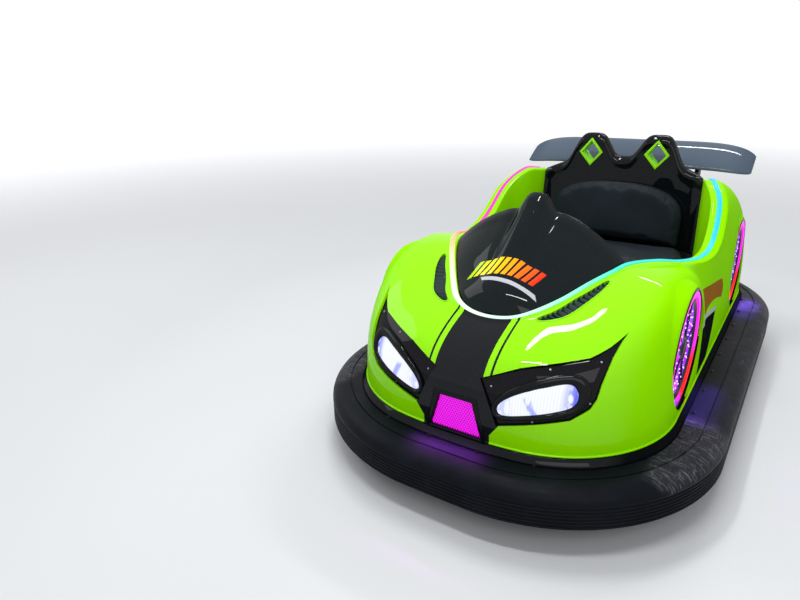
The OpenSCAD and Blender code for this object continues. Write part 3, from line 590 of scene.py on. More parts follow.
@dataclass(frozen=True)
class Headlamp(Lamp):
    """White lamp, tinged violet where the reflector turns away."""

    def light(self, graph: Graph) -> Value:
        """White with blue and violet patches toward the outer end."""
        x, _y, z = graph.axes()
        side = abs(x)
        facets = graph.above(graph.cells(62, (1, 1, 0.5)), 0.3, 0.2)
        outer = graph.above(side, 0.25, 0.03)
        middle = graph.between(side + (z - 0.32) * 0.5, 0.183, 0.2, 0.006)
        middle = middle * graph.between(z, 0.29, 0.345, 0.01)
        inner = graph.above(0.152 - side, 0.0, 0.03) * 0.5
        edge = graph.most(outer, graph.most(middle * 0.8, inner)) * facets
        flutes = graph.math("SINE", side * 900) * 0.06 + 0.06
        cool = graph.mix((0.9, 0.93, 1.0), srgb("8090ff"), flutes + edge * 0.85)
        return graph.mix(cool, srgb("3a30f0"), edge * outer * 0.6)


GREEN = (srgb("8fdf00"), srgb("84d400"))
BODY_GREEN = StripedGelcoat("Body_green", "body_green", *GREEN)
LINING_GREEN = Gelcoat("Lining_green", "body_green", *GREEN)
GLOSS_BLACK = Gelcoat(
    "Gloss_black", "gloss_black", (0.003, 0.004, 0.005), (0.002, 0.003, 0.004), 0.0003, 0.3
)
POD_BLACK = Gelcoat(
    "Pod_black", "gloss_black", (0.003, 0.003, 0.006), (0.002, 0.002, 0.004), 0.0004, 0.3
)
COWL_BLACK = BarredGelcoat(
    "Cowl_black", "gloss_black", (0.001, 0.005, 0.006), (0.001, 0.004, 0.005), 0.00015, 0.36
)
LOUVRE = Gelcoat(
    "Louvre_black", "gloss_black", (0.006, 0.03, 0.03), (0.004, 0.02, 0.02), 0.0002, 1.0
)
SLATE = Gelcoat("Slate_grey", "slate_grey", srgb("4c5866"), srgb("45505e"), 0.0003, 0.4)
SATIN_BLACK = Moulding("Satin_black", "satin_black", (0.006, 0.007, 0.009), (0.02, 0.021, 0.025))
VINYL = Vinyl("Black_vinyl", "black_vinyl")
RUBBER = Rubber("Bumper_rubber", "bumper_rubber")
TYRE = Moulding(
    "Tyre_rubber", "tyre_rubber", (0.014, 0.014, 0.015), (0.07, 0.066, 0.06), 0.7, 0.0004, 350.0
)
FRAME_STEEL = Metal("Frame_steel", "frame_steel", (0.02, 0.021, 0.025), 0.0, 0.45, 0.4)
PEDAL = Metal("Pedal_steel", "frame_steel", (0.35, 0.36, 0.38), 1.0, 0.4, 0.2)
ZINC = Metal("Zinc_steel", "frame_steel", (0.25, 0.25, 0.27), 1.0, 0.38, 0.25)
BLACK_BOLT = Metal("Black_bolt", "frame_steel", (0.03, 0.03, 0.035), 1.0, 0.35, 0.1)
FORK_STEEL = Metal("Fork_steel", "fork_steel", (0.09, 0.095, 0.11), 0.0, 0.45, 0.3)
MOTOR = Metal("Motor_case", "motor_case", (0.05, 0.055, 0.06), 0.0, 0.5, 0.1)
HUB = Metal("Hub_metal", "hub_metal", (0.62, 0.63, 0.65), 1.0, 0.35, 0.05)
BATTERY = Moulding(
    "Battery_case", "battery_case", (0.045, 0.05, 0.06), (0.11, 0.11, 0.11), 0.55
)
DISH = DiscGlow("Lamp_dish", "lamp_dish", strength=1.6)
RING = RingLight("Ring_light", "magenta_light", strength=1.6)
DOTS = Lamp("Dot_light", "lamp_white", (0.85, 0.7, 1.0), 1.6)
LENS = Headlamp("Lens_white", "lamp_white", strength=0.98)
MAGENTA = Lamp("Magenta_light", "magenta_light", srgb("f418e6"), 1.15)
GLOW = Lamp("Magenta_glow", "magenta_light", srgb("8c10c8"), 0.8)
STRIP = StripLight("Strip_light", "strip_light", strength=1.1)
TAIL_RED = Lamp("Tail_red", "tail_red", (0.5, 0.01, 0.012), 0.4)


class Paints:
    """The materials, each made once."""

    made: Dict[str, bpy.types.Material] = {}

    @classmethod
    def get(cls, finish: Finish) -> bpy.types.Material:
        """Material of a finish."""
        if finish.name not in cls.made:
            cls.made[finish.name] = finish.build()
        return cls.made[finish.name]


# Modelling

AGREE = partial(bpy.ops.mesh.normals_make_consistent, inside=False)


def circle_angles(count: int) -> np.ndarray:
    """Angles of a circle's points, in radians."""
    return np.arange(count) * 2 * math.pi / count


def circle(count: int, r: float) -> List[Pair]:
    """Points of a circle round the origin."""
    return [(r * math.cos(a), r * math.sin(a)) for a in circle_angles(count)]


def ease(share: float) -> float:
    """Share from 0 to 1 with a soft start and end."""
    t = min(max(share, 0.0), 1.0)
    return t * t * (3 - 2 * t)


class Bench:
    """Modelling steps on meshes, as by hand."""

    @staticmethod
    def clear() -> None:
        """Deselects every object."""
        for item in bpy.context.selected_objects:
            item.select_set(False)

    @classmethod
    def take(cls, item: Object) -> None:
        """Selects one object alone and makes it active."""
        cls.clear()
        item.select_set(True)
        bpy.context.view_layer.objects.active = item

    @staticmethod
    def add(name: str, data: bpy.types.ID) -> Object:
        """New object of some data, linked to the scene."""
        item = bpy.data.objects.new(name, data)
        bpy.context.scene.collection.objects.link(item)
        return item

    @classmethod
    def edit(cls, item: Object, *steps: Callable[[], object]) -> None:
        """Takes steps in edit mode, each with the whole mesh selected."""
        cls.take(item)
        bpy.ops.object.mode_set(mode="EDIT")
        for step in steps:
            bpy.ops.mesh.select_all(action="SELECT")
            step()
        bpy.ops.object.mode_set(mode="OBJECT")

    @classmethod
    def grid(cls, name: str, points: np.ndarray, close: bool = True) -> Object:
        """A grid primitive laid onto a surface.

        Args:
            name: Name of the object.
            points: Array of rows by columns by 3, in millimetres.
            close: Whether meeting edges are merged and the normals made to agree.

        Returns:
            The object.
        """
        rows, cols = points.shape[:2]
        cls.clear()
        bpy.ops.mesh.primitive_grid_add(x_subdivisions=cols - 1, y_subdivisions=rows - 1, size=1)
        item = bpy.context.object
        item.name = name
        cls.set_points(item, points * MM)
        if close:
            cls.weld(item)
        return item

    @classmethod
    def loft(cls, name: str, sections: np.ndarray) -> Object:
        """A closed grid through sections, whose two ends are drawn together."""
        middles = sections.mean(axis=1, keepdims=True).repeat(sections.shape[1], axis=1)
        return cls.grid(name, np.concatenate([middles[:1], sections, middles[-1:]]))

    @classmethod
    def outline(cls, name: str, corners: Sequence[Place], fill: str) -> Object:
        """A circle primitive laid onto corners in millimetres."""
        cls.clear()
        bpy.ops.mesh.primitive_circle_add(vertices=len(corners), radius=1, fill_type=fill)
        item = bpy.context.object
        item.name = name
        cls.set_points(item, np.array(corners, float) * MM)
        return item

    @classmethod
    def prism(cls, name: str, outline: Sequence[Pair], turn: Matrix, depth: Pair) -> Object:
        """A prism over a flat outline.

        Args:
            name: Name of the object.
            outline: Its corners in its own plane, in millimetres.
            turn: Matrix that sets the plane in the car, in metres.
            depth: First and last height over the plane, in millimetres.

        Returns:
            The object.
        """
        item = cls.outline(name, [(x, y, depth[0]) for x, y in outline], "NGON")
        rise = {"value": (0, 0, (depth[1] - depth[0]) * MM)}
        extrude = partial(bpy.ops.mesh.extrude_region_move, TRANSFORM_OT_translate=rise)
        cls.edit(item, extrude, AGREE)
        item.data.transform(turn)
        cls.face_out(item)
        return item

    @classmethod
    def face_out(cls, item: Object) -> None:
        """Makes a closed mesh's faces point outwards."""
        cls.edit(item, AGREE)

    @classmethod
    def mirrored(cls, item: Object, name: str) -> Object:
        """Copy of a piece on the car's other side."""
        twin = cls.add(name, item.data.copy())
        twin.data.transform(Matrix.Scale(-1, 4, (1, 0, 0)))
        cls.face_out(twin)
        return twin

    @classmethod
    def node_copy(cls, node: str, name: str) -> Object:
        """Copy of a CAD node with its triangles merged into one skin."""
        item = cls.add(name, bpy.data.objects[node].data.copy())
        cls.take(item)
        bpy.ops.mesh.customdata_custom_splitnormals_clear()
        merge = partial(bpy.ops.mesh.remove_doubles, threshold=FINE_MERGE)
        cls.edit(item, merge, bpy.ops.mesh.tris_convert_to_quads)
        return item

    @classmethod
    def modify(cls, item: Object, kind: str, **settings: object) -> None:
        """Adds a modifier of a kind with its settings, and applies it."""
        cls.take(item)
        modifier = item.modifiers.new(kind.title(), kind)
        for key, value in settings.items():
            setattr(modifier, key, value)
        bpy.ops.object.modifier_apply(modifier=modifier.name)

    @classmethod
    def bevel(cls, item: Object, width: float, segments: int = 2, **settings: object) -> None:
        """Rounds a piece's sharp edges by a width in millimetres."""
        settings = {"segments": segments, "limit_method": "ANGLE", **settings}
        cls.modify(item, "BEVEL", width=width * MM, **settings)

    @classmethod
    def thicken(cls, item: Object, thickness: float, offset: float = -1.0) -> None:
        """Makes a sheet a closed plate of a thickness in millimetres."""
        cls.modify(item, "SOLIDIFY", thickness=thickness * MM, offset=offset)
        cls.face_out(item)

    @classmethod
    def cut(
        cls, item: Object, tools: Sequence[Object], operation: str = "DIFFERENCE"
    ) -> None:
        """Cuts a piece by tools that don't touch each other, which are then removed."""
        tool = cls.join(list(tools), "Cutter")
        cls.modify(item, "BOOLEAN", operation=operation, object=tool, solver="EXACT")
        bpy.data.objects.remove(tool, do_unlink=True)

    @classmethod
    def join(cls, items: List[Object], name: str) -> Object:
        """Joins pieces into the first, under a new name."""
        cls.take(items[0])
        for item in items[1:]:
            item.select_set(True)
        if len(items) > 1:
            bpy.ops.object.join()
        items[0].name = name
        return items[0]

    @classmethod
    def spin(cls, name: str, profile: Sequence[Pair], steps: int) -> Object:
        """Solid of revolution round the z axis.

        Args:
            name: Name of the object.
            profile: Its outline as radius and height, in millimetres.
            steps: Number of steps round the axis.

        Returns:
            The object.
        """
        item = cls.outline(name, [(r, 0, z) for r, z in profile], "NOTHING")
        spin = partial(
            bpy.ops.mesh.spin, steps=steps, angle=2 * math.pi, center=(0, 0, 0), axis=(0, 0, 1)
        )
        merge = partial(bpy.ops.mesh.remove_doubles, threshold=FINE_MERGE)
        cls.edit(item, spin, merge, bpy.ops.mesh.delete_loose, AGREE)
        return item

    @classmethod
    def bolt(cls, name: str, r: float, h: float, washer: Pair = (0, 0)) -> Object:
        """Round head, with a socket and on a washer if that has a radius and a height."""
        washer_r, z = washer
        head = [(r, z), (r, z + h * 0.45), (r * 0.82, z + h * 0.9), (r * 0.5, z + h)]
        if not washer_r:
            return cls.spin(name, [(0, 0), *head, (0, h)], 8)
        low = [(0, 0), (washer_r, 0), (washer_r, z)]
        return cls.spin(name, [*low, *head, (r * 0.42, z + h * 0.6), (0, z + h * 0.6)], 16)

    @classmethod
    def scatter(cls, item: Object, places: Sequence[Matrix]) -> Object:
        """Copies a piece to each place, each with its own mesh, and joins the copies."""
        name = item.name
        copies = []
        for place in places:
            copies.append(cls.add(name, item.data.copy()))
            copies[-1].data.transform(place)
        bpy.data.objects.remove(item, do_unlink=True)
        return cls.join(copies, name)

    @classmethod
    def tube(
        cls, name: str, path: np.ndarray, radius: float, closed: bool = False, sides: int = 10
    ) -> Object:
        """Round tube along a path.

        Args:
            name: Name of the object.
            path: Points of its middle line, in millimetres.
            radius: Its radius, in millimetres.
            closed: Whether the path ends where it starts.
            sides: Number of faces round it.

        Returns:
            The object.
        """
        path = np.asarray(path, float)
        along = np.roll(path, -1, 0) - np.roll(path, 1, 0) if closed else np.gradient(path, axis=0)
        along /= np.linalg.norm(along, axis=1, keepdims=True)
        side = np.cross(along[0], (0.1, 0.2, 1.0))
        rows = []
        for place, ahead in zip(path, along):
            side = side - ahead * (side @ ahead)
            side /= np.linalg.norm(side)
            up = np.cross(ahead, side)
            turns = np.linspace(0, 2 * math.pi, sides + 1)[:, None]
            rows.append(place + radius * (side * np.cos(turns) + up * np.sin(turns)))
        if closed:
            rows.append(rows[0])
        else:
            rows.insert(0, np.repeat(path[:1], sides + 1, axis=0))
            rows.append(np.repeat(path[-1:], sides + 1, axis=0))
        return cls.grid(name, np.array(rows))

    @staticmethod
    def grown(outline: Sequence[Pair], by: float) -> np.ndarray:
        """A flat outline moved outward, with its sharpest corners cut short."""
        p = np.array(outline, float)
        area = np.sum(p[:, 0] * np.roll(p[:, 1], -1) - p[:, 1] * np.roll(p[:, 0], -1))
        turn = 1 if area > 0 else -1
        step = np.roll(p, -1, 0) - p
        normal = np.stack([step[:, 1], -step[:, 0]], axis=1) * turn
        normal /= np.linalg.norm(normal, axis=1, keepdims=True)
        before = np.roll(normal, 1, 0)
        both = (normal + before) / (1 + np.sum(normal * before, axis=1, keepdims=True))
        size = np.linalg.norm(both, axis=1, keepdims=True)
        return p + both * by * np.minimum(1, 1.6 / size)

    @classmethod
    def weld(cls, item: Object) -> None:
        """Merges a piece's doubled points and makes its normals agree."""
        cls.edit(item, partial(bpy.ops.mesh.remove_doubles, threshold=MERGE), AGREE)

    @classmethod
    def face_from(cls, item: Object, place: Place) -> None:
        """Turns a sheet's faces away from a point, in metres."""
        away = sum(face.normal.dot(face.center - Vector(place)) for face in item.data.polygons)
        if away < 0:
            cls.edit(item, bpy.ops.mesh.flip_normals)

    @staticmethod
    def points(item: Object) -> np.ndarray:
        """Places of a piece's points, in metres."""
        flat = np.zeros(len(item.data.vertices) * 3)
        item.data.vertices.foreach_get("co", flat)
        return flat.reshape(-1, 3)

    @staticmethod
    def set_points(item: Object, points: np.ndarray) -> None:
        """Moves a piece's points to places in metres."""
        item.data.vertices.foreach_set("co", points.reshape(-1))
        item.data.update()

    @staticmethod
    def normals(item: Object) -> np.ndarray:
        """Directions of a piece's surface at its points."""
        flat = np.zeros(len(item.data.vertices) * 3)
        item.data.vertex_normals.foreach_get("vector", flat)
        return flat.reshape(-1, 3)

    @classmethod
    def mark_outside(cls, item: Object) -> None:
        """Stores on each point whether its surface faces away from the car's middle."""
        away = cls.points(item)[:, 0] * cls.normals(item)[:, 0] > 0
        layer = item.data.attributes.new("outside", "FLOAT", "POINT")
        layer.data.foreach_set("value", away.astype(np.float32))

    @classmethod
    def smooth(cls, item: Object, angle: Optional[float]) -> None:
        """Shades a piece smooth, with sharp edges over an angle in degrees, if one is given."""
        cls.take(item)
        if angle is None:
            bpy.ops.object.shade_smooth()
        else:
            bpy.ops.object.shade_smooth_by_angle(angle=math.radians(angle))

    @classmethod
    def dress(
        cls,
        item: Object,
        finish: Finish,
        body: str,
        replaces: Sequence[str] = (),
        angle: Optional[float] = 35.0,
    ) -> Object:
        """Gives a new piece its finish and its body.

        Args:
            item: The piece.
            finish: Its finish.
            body: The CAD body that it rides on.
            replaces: CAD nodes that it stands for.
            angle: Angle over which an edge stays sharp, or None for no sharp edge.

        Returns:
            The piece.
        """
        item.data.materials.clear()
        item.data.materials.append(Paints.get(finish))
        cls.smooth(item, angle)
        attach(item, body)
        if replaces:
            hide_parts(*replaces)
        log.info("%s: %d faces, rides on %s", item.name, len(item.data.polygons), body)
        return item

    @classmethod
    def dress_pair(cls, left: Object, finish: Finish, angle: float, node: str = "") -> None:
        """Mirrors a left piece, and dresses both for their sides' CAD nodes, if any."""
        right = cls.mirrored(left, left.name.replace("left", "right"))
        for item, side in ((left, "left"), (right, "right")):
            cls.dress(item, finish, "car", [f"{node}_{side}"] if node else [], angle)

    @staticmethod
    def repaint(node: str, finish: Finish) -> None:
        """Gives a CAD node its material."""
        item = bpy.data.objects[node]
        item.data.materials.clear()
        item.data.materials.append(Paints.get(finish))
        log.info("%s: repainted as %s", node, finish.name)


# The moulded body's skin


def smooth_step(a: float, b: float, c: float, d: float, t: float) -> float:
    """Place at a share t of the way from b to c, on a smooth curve past a and d."""
    start = 2 * b + (c - a) * t + (2 * a - 5 * b + 4 * c - d) * t * t
    return 0.5 * (start + (3 * b - a - 3 * c + d) * t**3)


def all_round(half: np.ndarray) -> np.ndarray:
    """Points of one half and their mirror, ending where they start."""
    return np.concatenate([half, half[-2::-1] * FLIP_X])


# Stations round the left half of the body: the place round the outline from 0 at the nose to 5
# at the tail, the rise and bulge of the lower handle, the reach and drop of the upper handle, the
# x, y and z of the rim, the width of the rim's roll and the height where the inner wall ends
STATIONS = (
    (0.00, 160, 16, 160, 52, 0, -722, 470, 24, 452),
    (0.60, 160, 16, 163, 54, 62, -712, 475, 24, 457),
    (1.15, 185, 12, 185, 56, 112, -683, 491, 24, 473),
    (1.40, 215, 6, 215, 50, 160, -617, 512, 24, 494),
    (1.65, 262, -8, 205, 30, 205, -545, 541, 24, 523),
    (1.90, 305, -6, 190, 6, 243, -478, 561, 26, 543),
    (2.10, 322, 0, 168, 2, 272, -418, 572, 34, 400),
    (2.24, 285, 0, 116, 6, 318, -300, 556, 44, 400),
    (2.37, 105, 0, 45, 60, 358, -170, 526, 52, 400),
    (2.485, 75, 0, 8, 130, 392, -30, 510, 52, 400),
    (2.60, 75, 0, 5, 150, 401, 80, 540, 52, 400),
    (2.75, 230, 0, 60, 60, 388, 200, 632, 52, 400),
    (2.89, 300, 4, 108, 45, 350, 295, 682, 50, 400),
    (3.10, 290, 4, 180, 60, 324, 380, 676, 40, 400),
    (3.40, 250, 4, 230, 90, 302, 456, 664, 24, 646),
    (3.75, 240, 4, 280, 110, 235, 484, 655, 24, 637),
    (4.40, 235, 4, 300, 115, 100, 484, 650, 24, 632),
    (5.00, 235, 4, 300, 115, 0, 484, 648, 24, 630),
)


@dataclass
class Skin:
    """Surface of the body, from its table of stations."""

    half_width: float = 455
    half_length: float = 885
    front_r: float = 340
    rear_r: float = 300
    arc_r: float = 1300
    low: float = 205
    steps: int = 3
    table: np.ndarray = field(default_factory=lambda: np.array(STATIONS))
    names: Tuple[str, ...] = (
        "place", "rise", "bulge", "reach", "drop", "x", "y", "z", "roll", "low",
    )  # fmt: skip
    over: Tuple[Pair, ...] = (
        (-0.42, 1.4), (-0.32, 0.2), (-0.15, -0.3), (0.1, -0.3), (0.28, 0.3), (0.4, 1.6), (0.5, 5),
        (0.54, 12),
    )  # fmt: skip

    @property
    def last(self) -> float:
        """Column number at the tail."""
        return (len(self.table) - 1) * self.steps

    def _mirrored(self, k: int, name: str) -> float:
        """Table value beyond the nose or tail, mirrored."""
        end = len(self.table) - 1
        inside = -k if k < 0 else 2 * end - k if k > end else k
        value = self.table[inside][self.names.index(name)]
        if k == inside or name not in ("x", "place"):
            return value
        if name == "x":
            return -value
        return -value if k < 0 else 10 - value

    def value(self, i: float, name: str) -> float:
        """Table value at a column, on a smooth curve."""
        k = min(int(i // self.steps), len(self.table) - 2)
        t = i / self.steps - k
        return smooth_step(*(self._mirrored(k + n, name) for n in (-1, 0, 1, 2)), t)

    def straight(self, i: float, name: str) -> float:
        """Table value at a column, on straight lines."""
        k = min(int(i // self.steps), len(self.table) - 2)
        t = i / self.steps - k
        col = self.names.index(name)
        return self.table[k][col] * (1 - t) + self.table[k + 1][col] * t

    def _end_point(self, half_l: float, r: float, out: float, t: float) -> np.ndarray:
        """Point of one end quarter of the lower edge."""
        width, length, r, arc = self.half_width + out, half_l + out, r + out, self.arc_r + out
        meet = math.asin((width - r) / (arc - r))
        if t <= 1:
            return np.array([arc * math.sin(meet * t), length - arc + arc * math.cos(meet * t)])
        a = meet + (QUARTER - meet) * (t - 1)
        middle = self._corner_y(r - out, out)
        return np.array([width - r + r * math.sin(a), middle + r * math.cos(a)])

    def _corner_y(self, r: float, out: float = 0.0) -> float:
        """Distance of a corner's centre from the middle, along the car."""
        width, length, arc = (v + out for v in (self.half_width, self.half_length, self.arc_r))
        r += out
        return length - arc + math.sqrt((arc - r) ** 2 - (width - r) ** 2)

    def base(self, s: float, out: float = 0.0) -> np.ndarray:
        """Point of the lower edge at a place from 0 to 5, moved outward."""
        if s <= 2:
            point = self._end_point(self.half_length, self.front_r, out, s)
            return np.array([point[0], -point[1]])
        if s >= 3:
            return self._end_point(self.half_length, self.rear_r, out, 5 - s)
        y0, y1 = -self._corner_y(self.front_r), self._corner_y(self.rear_r)
        return np.array([self.half_width + out, y0 + (y1 - y0) * (s - 2)])

    def outward(self, s: float) -> np.ndarray:
        """Level direction away from the car, at a place of the lower edge."""
        away = self.base(s, 1.0) - self.base(s)
        return away / np.linalg.norm(away)

    def rim(self, i: float) -> np.ndarray:
        """Point of the rim's middle line."""
        return np.array([self.value(i, name) for name in "xyz"])

    def inward(self, i: float) -> np.ndarray:
        """Level direction from the rim into the car."""
        if i <= 0:
            step = np.array([1.0, 0.0])
        elif i >= self.last:
            step = np.array([-1.0, 0.0])
        else:
            step = (self.rim(min(i + 0.5, self.last)) - self.rim(max(i - 0.5, 0)))[:2]
        step = step / np.linalg.norm(step)
        return np.array([-step[1], step[0]])

    def rim_side(self, i: float, share: float) -> np.ndarray:
        """Point beside the rim, by a share of its roll's width."""
        return self.rim(i)[:2] + self.inward(i) * self.straight(i, "roll") * share

    def column(self, i: float, side_steps: int) -> np.ndarray:
        """Points up the side, over the rim's roll and down the inner wall."""
        s = self.value(i, "place")
        rise, bulge, reach, drop = (self.value(i, name) for name in self.names[1:5])
        base, outer, top = self.base(s), self.rim_side(i, -0.5), self.rim(i)[2]
        away = base - outer
        away = away / np.linalg.norm(away)
        low = np.array([*base, self.low])
        first = np.array([*(base + self.outward(s) * bulge), self.low + rise])
        second = np.array([*(outer + away * reach), top - drop])
        edge = np.array([*outer, top - 4])
        points = []
        for t in np.arange(side_steps + 1) / side_steps:
            start = low * (1 - t) ** 3 + 3 * first * t * (1 - t) ** 2
            points.append(start + 3 * second * t * t * (1 - t) + edge * t**3)
        points += [np.array([*self.rim_side(i, share), top - fall]) for share, fall in self.over]
        points.append(np.array([*self.rim_side(i, 0.56), self.straight(i, "low")]))
        return np.array(points)

    def ring(self, per_step: int, side_steps: int) -> np.ndarray:
        """Columns all the way round, ending where they start."""
        count = int(self.last) * per_step
        return all_round(
            np.array([self.column(k / per_step, side_steps) for k in range(count + 1)])
        )

    def patch(self, ends: Pair, cols: int, side_steps: int, depth: float) -> np.ndarray:
        """Part of the left half's side between two columns, moved inward by a depth."""
        places = np.linspace(*ends, cols)
        points = np.array([self.column(i, side_steps)[: side_steps + 1] for i in places])
        normal = np.cross(np.gradient(points, axis=0), np.gradient(points, axis=1))
        return points - normal / np.linalg.norm(normal, axis=2, keepdims=True) * depth


SKIN = Skin()


class Cover:
    """Outer skin of the body, as a surface to lay pieces on."""

    tree: Optional[BVHTree] = None

    @classmethod
    def hit(cls, start: np.ndarray, aim: np.ndarray) -> Tuple[np.ndarray, np.ndarray]:
        """Where a line first meets the skin.

        Args:
            start: Point outside the car, in millimetres.
            aim: Direction of the line.

        Returns:
            The point, in millimetres, and the outward normal there.
        """
        if cls.tree is None:
            skin = SKIN.ring(2, 30)
            rows, cols = skin.shape[:2]
            quads = [
                (i * cols + j, i * cols + j + 1, (i + 1) * cols + j + 1, (i + 1) * cols + j)
                for i in range(rows - 1)
                for j in range(cols - 1)
            ]
            cls.tree = BVHTree.FromPolygons([Vector(p) for p in skin.reshape(-1, 3)], quads)
        place, normal, _index, _far = cls.tree.ray_cast(Vector(start), Vector(aim))
        if place is None:
            raise ValueError(f"no skin under {tuple(start)}")
        normal = np.array(normal)
        return np.array(place), -normal if normal @ np.array(aim) > 0 else normal

    @classmethod
    def drop(cls, x: float, y: float, depth: float) -> np.ndarray:
        """Point of the skin under a place of the plan, sunk by a depth."""
        return cls.under(Matrix(), (x, y, 900.0), depth)

    @classmethod
    def under(cls, plane: Matrix, place: Place, depth: float) -> np.ndarray:
        """Point of the skin under a place of a plane, sunk by a depth.

        Args:
            plane: Matrix of the plane, in metres.
            place: The place, in millimetres, high enough to lie over the skin.
            depth: How far the point is sunk, in millimetres.

        Returns:
            The point, in millimetres.
        """
        start = np.array(plane @ (Vector(place) * MM)) / MM
        point, normal = cls.hit(start, np.array(plane.to_3x3() @ Vector((0, 0, -1))))
        return point - normal * depth


def closed_curve(points: Sequence[Pair], steps: int) -> np.ndarray:
    """Smooth closed curve through some points.

    Args:
        points: The points, two numbers each.
        steps: Number of steps between two of them.

    Returns:
        The curve's points.
    """
    p = np.array(points, float)
    near = [[p[(k + n) % len(p)] for n in (-1, 0, 1, 2)] for k in range(len(p))]
    return np.array([smooth_step(*four, t) for four in near for t in np.arange(steps) / steps])


def round_reach(curve: np.ndarray, centre: Pair, angles: np.ndarray) -> np.ndarray:
    """Points of a closed curve in given directions from a centre.

    Args:
        curve: The curve's points.
        centre: Point inside it.
        angles: The directions, in radians.

    Returns:
        A point for each direction.
    """
    rel = curve - np.array(centre)
    turn = np.arctan2(rel[:, 1], rel[:, 0])
    order = np.argsort(turn)
    turn, reach = turn[order], np.linalg.norm(rel, axis=1)[order]
    full = np.concatenate([turn - 2 * math.pi, turn, turn + 2 * math.pi])
    r = np.interp((angles + math.pi) % (2 * math.pi) - math.pi, full, np.tile(reach, 3))
    return np.array(centre) + np.stack([np.cos(angles), np.sin(angles)], axis=1) * r[:, None]


